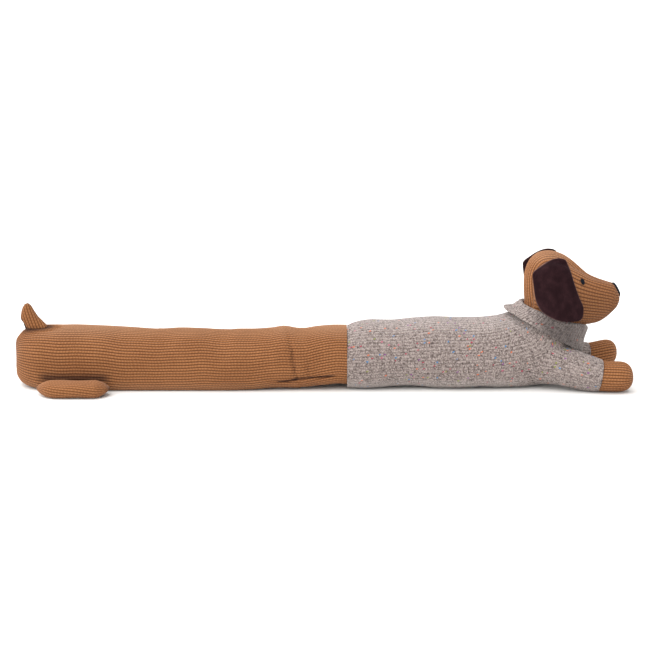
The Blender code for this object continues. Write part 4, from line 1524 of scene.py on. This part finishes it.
@dataclass
class Head:
    """Two side panels and the gusset between them."""

    outline: Sequence[Pair] = (
        (428.8, 130.5), (427.0, 138.4), (421.8, 147.4), (418.2, 150.4), (408.0, 153.8),
        (393.0, 159.0), (380.0, 165.5), (366.0, 177.5), (355.0, 186.5), (344.0, 193.0),
        (333.0, 196.8), (323.0, 197.8), (312.0, 196.0), (304.0, 191.5), (297.0, 184.0),
        (292.0, 173.0), (289.5, 160.0), (289.3, 145.0), (290.0, 132.0), (290.8, 122.0),
        (288.5, 115.0), (286.0, 104.0), (290.0, 80.0), (308.0, 60.0), (335.0, 55.0),
        (352.0, 58.0), (361.0, 70.0), (365.5, 80.0), (373.0, 87.8), (385.0, 89.9), (399.0, 93.2),
        (410.0, 100.0), (419.5, 109.0), (425.0, 115.5), (427.6, 122.5),
    )
    top_count: int = 24
    chin: Tuple[Pair, Pair] = ((428.8, 130.5), (335.0, 55.0))
    spread: float = 0.158
    crown: float = 0.16
    extra_drop: float = 7.5
    extra_width: float = 11.0
    pitch: float = 4.4
    rib_depth: float = 1.25
    snout_slope: float = math.radians(-10.0)
    fullness: Sequence[Pair] = (
        (285.0, 17.2), (300.0, 25.9), (325.0, 33.0), (340.0, 32.0),
        (360.0, 27.5), (385.0, 21.5), (405.0, 18.5), (430.0, 17.0),
    )
    neck_point: Triple = (323.15, 0.0, 91.26)
    into_neck: Triple = (-0.5, 0.0, -0.866)
    heart: Triple = (345.0, 0.0, 130.0)
    gusset_thickness: float = 3.0
    profile: np.ndarray = field(init=False)
    normals: np.ndarray = field(init=False)
    seam: np.ndarray = field(init=False)
    panel: CutPanel = field(init=False)

    def __post_init__(self) -> None:
        """Cuts the side panel."""
        self.profile = smooth_closed(self.outline, 12)
        self.normals = outward_normals(self.profile)
        drop = self.seam_drop(self.profile[:, 0], self.profile[:, 1])
        self.seam = self.profile - self.normals * drop[:, None]
        self.panel = CutPanel(self.seam, self.snout_slope, self.pitch, 11, 84)
        x, z = self.panel.u, self.panel.v
        bend = 0.26 * ease(z, 118.0, 178.0) * (x - 400.0)
        self.panel.drape(self.half_width, bend)

    def off_chin(self, x: np.ndarray, z: np.ndarray) -> np.ndarray:
        """Distance from the line of the chin, upwards."""
        (x0, z0), (x1, z1) = self.chin
        length = math.hypot(x1 - x0, z1 - z0)
        return ((x - x0) * (z1 - z0) - (z - z0) * (x1 - x0)) / length

    def rear(self, x: np.ndarray, z: np.ndarray) -> np.ndarray:
        """1 where the gusset is at its widest, over the crown and the nape, and 0 on the snout."""
        return (1.0 - ease(x, 342.0, 384.0)) * ease(self.off_chin(x, z), 15.0, 60.0)

    def seam_drop(self, x: np.ndarray, z: np.ndarray) -> np.ndarray:
        """How far the seam lies inside the profile."""
        width = self.spread * np.maximum(self.off_chin(x, z), 0.0)
        return width * self.crown + 0.4 + self.extra_drop * self.rear(x, z)

    def seam_width(self, x: np.ndarray, z: np.ndarray) -> np.ndarray:
        """Half the gusset's width at its seams."""
        off = self.off_chin(x, z)
        return 0.25 + self.spread * np.maximum(off, 0.0) + self.extra_width * self.rear(x, z)

    def half_width(self, x: np.ndarray, z: np.ndarray, full: np.ndarray) -> np.ndarray:
        """Distance from the middle to the outer face of a side panel.

        Args:
            x: places along.
            z: places up.
            full: the panel's fullness there.

        Returns:
            The distances.
        """
        places, sizes = zip(*self.fullness)
        swell = np.interp(x, places, sizes) + 2.15 - self.extra_width * self.rear(x, z)
        return self.seam_width(x, z) + full * swell

    def side(self, side: Side, material: Material) -> Piece:
        """Makes a side panel with its filling.

        Args:
            side: which side.
            material: the rib knit.

        Returns:
            The piece.
        """
        panel = self.panel
        x, z = panel.u, panel.v
        dimple = 1.2 * bell(x, 369.0, 7.0) * bell(z, 158.0, 8.0)
        cheek = 0.5 * np.sin(x / 12.0 + z / 21.0) * np.sin(z / 13.0) * panel.full
        y = side.value * (self.half_width(x, z, panel.full) - (dimple - cheek) * (panel.full > 0.0))
        outer = Surface(np.stack([x, y, z], axis=2), panel.yarn, False, (0.0, side.value, 0.0))
        outer = outer.pushed(panel.relief(self.rib_depth) + 0.15 * (panel.full > 0.0))
        # Painted light and shade: the lower snout and chin darker as if shaded from above, the
        # crown and the back of the head lighter as if lit from above and behind, and painted shade
        # along the gusset seam
        low_down = 0.27 * ease(-z, -172.0, -128.0) * ease(x, 290.0, 345.0)
        crown = 0.07 * ease(z, 176.0, 194.0) + 0.05 * (1.0 - ease(x, 287.0, 310.0))
        seam = 0.84 + 0.16 * ease(panel.full, 0.0, 0.3)
        outer.shade = seam * (1.0 - low_down) + crown
        wall = side.value * self.seam_width(x, z)
        walls = np.stack([x, wall, z], axis=2)
        inner = Surface(walls, panel.yarn, False, (0.0, -side.value, 0.0))
        piece = Workbench.sew(f"knit_head_side_{side.label}", outer, inner)
        Workbench.cut(piece, self.neck_point, self.into_neck)
        node = f"head_side_{side.label}"
        return Workbench.dress(piece, node, material, Slot.RIB)

    def gusset(self, material: Material) -> Piece:
        """Makes the strip from the nose over the crown to the nape.

        Args:
            material: the rib knit.

        Returns:
            The piece.
        """
        count = 12 * self.top_count + 1
        profile, normals, seam = self.profile[:count], self.normals[:count], self.seam[:count]
        edge = self.seam_width(seam[:, 0], seam[:, 1])
        drop = np.linalg.norm(profile - seam, axis=1)
        share = np.sin(np.linspace(-math.pi / 2.0, math.pi / 2.0, 121))[None, :]
        across = edge[:, None] * share
        length = summed(np.linalg.norm(np.diff(profile, axis=0), axis=1))
        along = np.broadcast_to(length[:, None], across.shape)
        yarn = np.stack([along, across / self.pitch], axis=2)
        faces = []
        for depth in (0.0, self.gusset_thickness):
            sink = drop[:, None] * np.abs(share) ** 2.3 + depth * (1.0 - share**4)
            x = profile[:, 0:1] - normals[:, 0:1] * sink
            z = profile[:, 1:2] - normals[:, 1:2] * sink
            face = Surface(np.stack([x, across, z], axis=2), yarn)
            if depth == 0.0:
                normals_out = face.normals()
                if (normals_out * (face.points - np.array(self.heart))).sum() < 0.0:
                    normals_out = -normals_out
                fade = 1.0 - np.abs(share) ** 12
                relief = rib_relief(yarn[..., 1], self.rib_depth) * fade + 0.1 * fade
                face.points = face.points + normals_out * relief[..., None]
                # Painted shade towards the seams, and the crown lighter as if lit from above
                face.shade = 0.84 + 0.16 * (1.0 - np.abs(share) ** 14)
                face.shade = face.shade + 0.07 * ease(z, 176.0, 194.0)
            faces.append(face)
        piece = Workbench.sew("knit_head_gusset", *faces)
        Workbench.cut(piece, self.neck_point, self.into_neck)
        return Workbench.dress(piece, "head_gusset", material, Slot.RIB)


@dataclass
class Ear:
    """A velvet flap that is sewn on along its top edge and hangs down the side of the head."""

    side: Side
    head: Head
    outline: Sequence[Pair] = (
        (297.5, 172.5), (306.0, 180.0), (318.0, 188.0), (329.0, 192.0), (338.0, 192.0),
        (343.5, 190.0), (346.5, 185.5), (350.5, 175.0), (356.0, 158.0), (364.0, 137.0),
        (370.0, 124.0), (370.6, 115.0), (368.8, 107.0), (363.0, 103.8), (351.0, 103.2),
        (336.0, 104.8), (323.0, 109.2), (311.0, 116.2), (304.5, 125.0), (301.0, 135.0),
        (298.5, 152.0), (296.8, 165.0),
    )
    left_shift: Pair = (-5.0, 3.2)
    right_clearance: float = 2.6
    left_clearance: float = 5.8
    half_thickness: float = 1.5
    flare: float = 8.0
    flare_height: float = 45.0

    def middle(self, panel: CutPanel) -> np.ndarray:
        """Distance of the flap's middle from the dog's middle plane.

        Args:
            panel: the flap's cut.

        Returns:
            One distance for each of its points.
        """
        xs, zs = np.arange(276.0, 440.0, 1.0), np.arange(60.0, 204.0, 1.0)
        grid_x, grid_z = np.meshgrid(xs, zs, indexing="ij")
        full = self.head.panel.fullness(grid_x, grid_z)
        widths = self.head.half_width(grid_x, grid_z, full)
        widest = np.maximum.accumulate(widths[:, ::-1], axis=1)[:, ::-1]
        blur = np.array([1.0, 2.0, 3.0, 2.0, 1.0]) / 9.0

        def blurred(line: np.ndarray) -> np.ndarray:
            """One line of the table with its steps softened."""
            return np.convolve(np.pad(line, 2, "edge"), blur, "valid")

        for axis in (0, 1):
            widest = np.apply_along_axis(blurred, axis, widest)
        cheek = between_cells(widest, panel.u - xs[0], panel.v - zs[0])
        low_down = np.maximum(0.0, 1.0 - (panel.v - panel.v.min()) / self.flare_height)
        clearance = self.right_clearance if self.side is Side.RIGHT else self.left_clearance
        return cheek + self.flare * low_down**1.5 + clearance

    def folds(self, panel: CutPanel) -> np.ndarray:
        """Faint creases that run down the flap, and the pull of the stitches along its top."""
        x, z = panel.u, panel.v
        down = ease(-z, -182.0, -150.0)
        crease = 0.9 * bell(x - 0.16 * (150.0 - z), 330.0, 3.2)
        crease += 0.7 * bell(x - 0.3 * (150.0 - z), 343.0, 4.0)
        crease += 0.5 * bell(x - 0.05 * (150.0 - z), 315.0, 5.0)
        wave = 0.7 * np.sin(x / 9.0 + 0.4) * ease(-z, -150.0, -110.0)
        return (wave - crease * down) * ease(panel.full, 0.0, 0.7)

    def build(self, material: Material) -> Piece:
        """Makes the ear.

        Args:
            material: the velvet.

        Returns:
            The piece.
        """
        shift = np.array(self.left_shift if self.side is Side.LEFT else (0.0, 0.0))
        panel = CutPanel(smooth_closed(self.outline) + shift, 0.0, 4.0, 4, 80)
        middle = self.middle(panel) + self.folds(panel)
        rounding = np.clip(panel.full * 1.7, 0.0, 1.0)
        faces = []
        for direction in (1.0, -1.0):
            y = self.side.value * (middle + direction * self.half_thickness * rounding)
            points = np.stack([panel.u, y, panel.v], axis=2)
            face = Surface(points, panel.yarn, False, (0.0, direction * self.side.value, 0.0))
            # Painted highlight: the shade falls towards the edge, where the velvet shows its light
            # rim colour
            face.shade = 0.35 + 0.65 * ease(panel.full, 0.05, 0.42)
            faces.append(face)
        piece = Workbench.sew(f"velvet_ear_{self.side.label}", *faces)
        Workbench.dress(piece, f"ear_{self.side.label}", material, Slot.VELVET)
        return piece


# ---------------------------------------------------------------- collar


def off_throat(angle: np.ndarray) -> np.ndarray:
    """How far round the neck a place is from the throat, either way."""
    return np.abs(np.mod(angle + math.pi, 2.0 * math.pi) - math.pi)


@dataclass(frozen=True)
class CollarRing:
    """A ring round the neck, in the plane of symmetry."""

    x: float
    z: float
    tilt: float
    half_length: float
    half_width: float
    side_lift: float
    jaw_lift: float = 0.0

    def points(
        self, angle: np.ndarray, offset: float, rise: float = 0.0, squareness: float = 2.4
    ) -> np.ndarray:
        """Points of the ring.

        Args:
            angle: places round the neck, 0 at the throat.
            offset: how far outside the ring.
            rise: how far above it.
            squareness: 2 for an ellipse.

        Returns:
            One point for each angle.
        """
        power = 2.0 / squareness
        cosine, sine = np.cos(angle), np.sin(angle)
        along = (self.half_length + offset) * rounded(cosine, power)
        across = (self.half_width + offset) * rounded(sine, power)
        lift = self.side_lift * sine**2 + self.jaw_lift * bell(off_throat(angle), 0.65, 0.45)
        x = self.x + along * math.cos(self.tilt) + rise * math.sin(self.tilt)
        z = self.z + rise * math.cos(self.tilt) - along * math.sin(self.tilt) + lift
        return np.stack([x, across, z], axis=-1)


@dataclass
class Collar:
    """One tube of knit, folded outwards over itself."""

    cloth: float = 3.0
    spacing: float = 4.8
    columns_of_stitches: int = 64
    relief: float = 0.85
    round_neck: float = 0.31
    root: CollarRing = CollarRing(323.3, 91.6, math.radians(30.0), 45.2, 43.8, 0.0)
    fold: CollarRing = CollarRing(332.2, 102.3, math.radians(20.3), 50.0, 48.0, 2.0, 3.2)
    hem: CollarRing = CollarRing(316.8, 82.8, math.radians(29.7), 60.0, 51.8, 4.0)
    # Numbers of the lines where the outer layer is whole, and where the hem's shadow comes and goes
    outer_line: int = 20
    hem_starts: Tuple[int, int] = (31, 34)
    hem_ends: Tuple[int, int] = (36, 40)

    def build(self, material: Material) -> Piece:
        """Makes the collar.

        Args:
            material: the tweed knit.

        Returns:
            The piece.
        """
        count = self.columns_of_stitches * 6
        angle = 2.0 * math.pi * np.arange(count + 1) / count
        half, spacing = self.cloth / 2.0, self.spacing / 2.0

        def inner(share: float, offset: float) -> np.ndarray:
            """A line of the inner layer."""
            low = self.root.points(angle, offset)
            high = self.fold.points(angle, offset - spacing)
            return low + (high - low) * share

        def outer(share: float, offset: float) -> np.ndarray:
            """A line of the outer layer, which bulges a little between fold and hem."""
            high = self.fold.points(angle, offset + spacing)
            low = self.hem.points(angle, offset)
            wave = 0.8 * np.sin(5.0 * angle + 0.6) + 0.5 * np.sin(9.0 * angle)
            nape = bell(np.abs(angle - math.pi), 0.0, 0.42)
            throat = bell(off_throat(angle), 0.0, 0.8)
            out = 0.3 * wave - 3.0 * nape + 6.5 * throat
            low = low + np.stack([out, 0.0 * wave, 0.6 * wave + 2.6 * nape], axis=-1)
            dip = 6.4 * nape * math.exp(-(((share - 0.52) / 0.24) ** 2))
            inwards = 1.8 * throat * math.sin(math.pi * min(share, 1.0))
            step = np.stack([0.67 * dip - inwards, 0.0 * dip, -0.75 * dip], axis=-1)
            return high + (low - high) * share + step

        def turn(radius: float, degrees: float) -> np.ndarray:
            """A line of the fold."""
            a = math.radians(degrees)
            return self.fold.points(angle, -radius * math.cos(a), radius * math.sin(a))

        lines = [inner(s, -half) for s in np.linspace(0.0, 1.0, 8)]
        lines += [turn(spacing + half, d) for d in np.linspace(30.0, 150.0, 6)]
        lines += [outer(s, half) for s in np.linspace(0.0, 0.97, 18)]
        lines += [outer(1.01, 0.6 * half), outer(1.015, 0.0), outer(1.01, -0.6 * half)]
        lines += [outer(s, -half) for s in np.linspace(0.97, 0.0, 12)]
        lines += [turn(max(spacing - half, 0.4), d) for d in (130.0, 90.0, 50.0)]
        lines += [inner(s, half) for s in np.linspace(1.0, 0.0, 8)]
        lines.append(lines[0])
        points = np.array(lines)
        length = summed(np.linalg.norm(np.diff(points[:, 0], axis=0), axis=1))
        column = np.arange(count + 1) / 6.0
        yarn = np.stack(np.broadcast_arrays(length[:, None], column[None, :]), axis=2)
        skin = Surface(points, yarn, True)
        normals = unit(np.cross(closed_steps(points, 0), closed_steps(points, 1)))
        line = points[self.outer_line]
        if (normals[self.outer_line] * (line - line.mean(axis=0))).sum() < 0.0:
            normals = -normals
        bumps = rib_relief(column, self.relief, 0.8) + 0.3
        skin.points = points + normals * bumps[None, :, None]
        hem = ease(length, *length[list(self.hem_starts)])
        hem = hem * (1.0 - ease(length, *length[list(self.hem_ends)]))
        x = points[..., 0]
        # Painted shadow: under the hem, and under the head, lighter again towards the throat
        under_head = 0.7 * ease(x, 283.0, 322.0) * (1.0 - 0.5 * ease(x, 350.0, 380.0))
        skin.shade = 1.0 - 0.35 * hem[:, None] - under_head
        piece = Workbench.sew("knit_collar", skin)
        Workbench.dress(piece, "jumper_collar", material, Slot.TWEED)
        return piece


# ---------------------------------------------------------------- face


@dataclass
class StitchedFace:
    """The eyes and the nose, in laid thread."""

    head: Head
    eye_place: Pair = (369.2, 158.0)
    eye_size: Triple = (3.2, 4.7, 1.4)
    eye_lean: Triple = (-0.3, 0.0, 0.95)
    nose_rows: Sequence[Triple] = (
        (418.2, 151.5, 6.0), (421.0, 149.5, 9.4), (425.2, 145.2, 10.8),
        (428.0, 139.8, 10.0), (429.6, 135.2, 8.0), (430.0, 131.2, 4.2),
    )
    thread: float = 0.75
    nose_threads: float = 11.0
    nose_lift: float = 0.45

    def eye(self, side: Side, material: Material) -> Piece:
        """Makes one eye, a low dome of laid thread.

        Args:
            side: which side.
            material: the thread.

        Returns:
            The piece.
        """
        x, z = self.eye_place
        node = f"eye_{side.label}"
        low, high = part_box(node)
        centre = (np.array(low) + np.array(high)) / 2.0 / MM - CENTRING
        step = 3.0

        def width(u: float, v: float) -> float:
            """Half the head's width at a place."""
            spot = (np.array([u]), np.array([v]))
            return float(self.head.half_width(*spot, self.head.panel.fullness(*spot))[0])

        slope_x = (width(x + step, z) - width(x - step, z)) / (2.0 * step)
        slope_z = (width(x, z + step) - width(x, z - step)) / (2.0 * step)
        normal = Vector((-slope_x, side.value, -slope_z)).normalized()
        long_side = Vector(self.eye_lean)
        tall = (long_side - normal * long_side.dot(normal)).normalized()
        wide = tall.cross(normal)
        s, t = np.meshgrid(np.linspace(-1.0, 1.0, 49), np.linspace(-1.0, 1.0, 49))
        across, up = s * np.sqrt(1.0 - t * t / 2.0), t * np.sqrt(1.0 - s * s / 2.0)
        radius = np.clip(np.hypot(across, up), 0.0, 1.0)
        count = 2.0 * self.eye_size[1] / self.thread
        dome = self.eye_size[2] * np.sqrt(np.maximum(1.0 - radius**2.4, 0.0))
        ridge = 0.16 * (np.abs(np.cos(math.pi * up * count / 2.0)) ** 0.6 - 1.0) * (radius < 0.999)
        base = centre - np.array(normal) * 0.1
        faces = []
        for lift, sign in ((dome + ridge, 1.0), (-0.35 * dome, -1.0)):
            points = (
                base
                + (across * self.eye_size[0])[..., None] * np.array(wide)
                + (up * self.eye_size[1])[..., None] * np.array(tall)
                + lift[..., None] * np.array(normal)
            )
            yarn = np.stack([across * self.eye_size[0], up * count / 2.0], axis=2)
            faces.append(Surface(points, yarn, False, tuple(np.array(normal) * sign)))
        piece = Workbench.sew(f"thread_eye_{side.label}", *faces)
        return Workbench.dress(piece, node, material, Slot.THREAD)

    def nose(self, pieces: Sequence[Piece], material: Material) -> Piece:
        """Makes the nose, a patch of thread over the tip of the snout.

        Args:
            pieces: the pieces of the head.
            material: the thread.

        Returns:
            The piece.
        """
        depsgraph = bpy.context.evaluated_depsgraph_get()
        trees = [BVHTree.FromObject(piece, depsgraph) for piece in pieces]
        known = np.array(self.nose_rows)
        places = np.linspace(0.0, len(known) - 1.0, 61)
        table = flowing(np.arange(len(known), dtype=float), known, places)
        shares = np.linspace(-1.0, 1.0, 97)
        along = np.gradient(table[:, :2], axis=0)
        over = np.zeros((len(table), len(shares), 3))
        under = np.zeros_like(over)
        last = len(table) - 1
        for row, (x, z, half_width) in enumerate(table):
            tangent = Vector((along[row, 0], 0.0, along[row, 1])).normalized()
            outwards = Vector((-tangent.z, 0.0, tangent.x))
            for column, share in enumerate(shares):
                direction = (outwards + Vector((0.0, 0.55 * share, 0.0))).normalized()
                start = Vector((x + CENTRING_STEP, half_width * share, z)) + direction * 20.0
                found = [tree.ray_cast(start * MM, -direction, 0.05) for tree in trees]
                near = min((hit for hit in found if hit[0] is not None), key=lambda hit: hit[3])
                spot = np.array(near[0]) / MM - CENTRING
                rim = row in (0, last) or abs(share) > 0.999
                down = 2.0 * row / last - 1.0
                puff = 0.0 if rim else (1.0 - share**4) ** 0.5 * (1.0 - down**6) ** 0.5
                ridge = abs(math.cos(math.pi * share * self.nose_threads)) ** 0.6 - 1.0
                lift = self.nose_lift + puff * (1.1 + 0.3 * ridge)
                over[row, column] = spot + np.array(direction) * lift
                under[row, column] = spot + np.array(direction) * (self.nose_lift if rim else 0.2)
        threads = shares[None, :] * self.nose_threads
        yarn = np.stack(np.broadcast_arrays(places[:, None] * 3.0, threads), axis=2)
        outer = Surface(over, yarn, False, (1.0, 0.0, 0.5))
        inner = Surface(under, yarn, False, (-1.0, 0.0, -0.5))
        piece = Workbench.sew("thread_nose", outer, inner)
        return Workbench.dress(piece, "nose", material, Slot.THREAD)


# ---------------------------------------------------------------- studio


@dataclass
class Studio:
    """The pale floor, the soft light and the camera at the photograph's angle."""

    elevation: float = math.radians(12.0)
    distance: float = 2.3
    look_at: Triple = (MM * CENTRING_STEP, 0.0, 0.088)
    lens: float = 87.13
    sky: Colour = (0.97, 0.985, 1.0)
    world_strength: float = 0.78
    sun_strength: float = 4.5
    sun_spread: float = math.radians(100.0)
    to_sun: Triple = (-0.52, -0.2, 0.83)
    floor_size: float = 80.0
    flat_radius: float = 14.0
    rim_curve: float = 0.012
    floor_drop: float = 0.0002

    def camera(self) -> None:
        """Places the camera."""
        data = bpy.data.cameras.new("camera")
        data.sensor_width = 36.0
        data.lens = self.lens
        data.clip_end = 50.0
        camera = bpy.data.objects.new("camera", data)
        bpy.context.scene.collection.objects.link(camera)
        back = Vector((0.0, -math.cos(self.elevation), math.sin(self.elevation)))
        camera.location = Vector(self.look_at) + back * self.distance
        camera.rotation_euler = (math.pi / 2.0 - self.elevation, 0.0, 0.0)
        bpy.context.scene.camera = camera

    def floor(self) -> None:
        """Lays the floor, which curves up far from the dog so that it fills the picture."""
        bpy.ops.object.select_all(action="DESELECT")
        bpy.ops.mesh.primitive_grid_add(
            x_subdivisions=120, y_subdivisions=120, size=self.floor_size
        )
        floor = bpy.context.object
        floor.name = "floor"
        for vertex in floor.data.vertices:
            past_flat = max(math.hypot(vertex.co.x, vertex.co.y) - self.flat_radius, 0.0)
            vertex.co.z = self.rim_curve * past_flat**2 - self.floor_drop
        graph = Graph("pale_paper")
        grain = graph.noise(3.0, 2.0)
        colour = graph.mix(grain, (0.82, 0.81, 0.79), (0.84, 0.83, 0.81))
        graph.finish(colour, 0.95, grain, 0.0, 0.0)
        floor.data.materials.append(graph.material)

    def window(self) -> None:
        """Lights the dog softly from above its tail end, as through a large white screen."""
        data = bpy.data.lights.new("window", "SUN")
        data.energy = self.sun_strength
        data.angle = self.sun_spread
        light = bpy.data.objects.new("window", data)
        bpy.context.scene.collection.objects.link(light)
        light.rotation_euler = Vector(self.to_sun).to_track_quat("Z", "Y").to_euler()

    def build(self) -> None:
        """Sets up the whole studio."""
        self.camera()
        self.floor()
        world = bpy.data.worlds.new("studio")
        bpy.context.scene.world = world
        world.use_nodes = True
        background = world.node_tree.nodes["Background"]
        background.inputs["Color"].default_value = (*self.sky, 1.0)
        background.inputs["Strength"].default_value = self.world_strength
        self.window()
        bpy.context.scene.view_settings.view_transform = "Standard"


def write_sizes() -> None:
    """Updates the view layer.
    """
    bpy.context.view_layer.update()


def main() -> None:
    """Builds and dresses the dog, piece by piece."""
    logging.basicConfig(level=logging.INFO, format="%(name)s: %(message)s", stream=sys.stdout)
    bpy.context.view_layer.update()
    rib, tweed = RibKnit().material(), TweedKnit().material()
    collar_yarn = TweedKnit(
        name="tweed_collar_yarn", stitch_length=4.2, fleck_share=0.05, painted_gap_shade=0.6
    )
    collar_tweed = collar_yarn.material()
    velvet, thread = Velvet().material(), SatinThread().material()
    HindBody().build(rib)
    Tail().build(rib)
    chest = Workbench.skin_tree(JumperBody().build(tweed))
    head = Head()
    face = StitchedFace(head)
    head_pieces: List[Piece] = [head.gusset(rib)]
    for side in Side:
        leg = ForeLeg(side)
        leg.sleeve(chest, tweed)
        leg.paw(rib)
        HindFoot(side).build(rib)
        head_pieces.append(head.side(side, rib))
        face.eye(side, thread)
        Ear(side, head).build(velvet)
    face.nose(head_pieces, thread)
    Collar().build(collar_tweed)
    Studio().build()
    write_sizes()


if __name__ == "__main__":
    main()
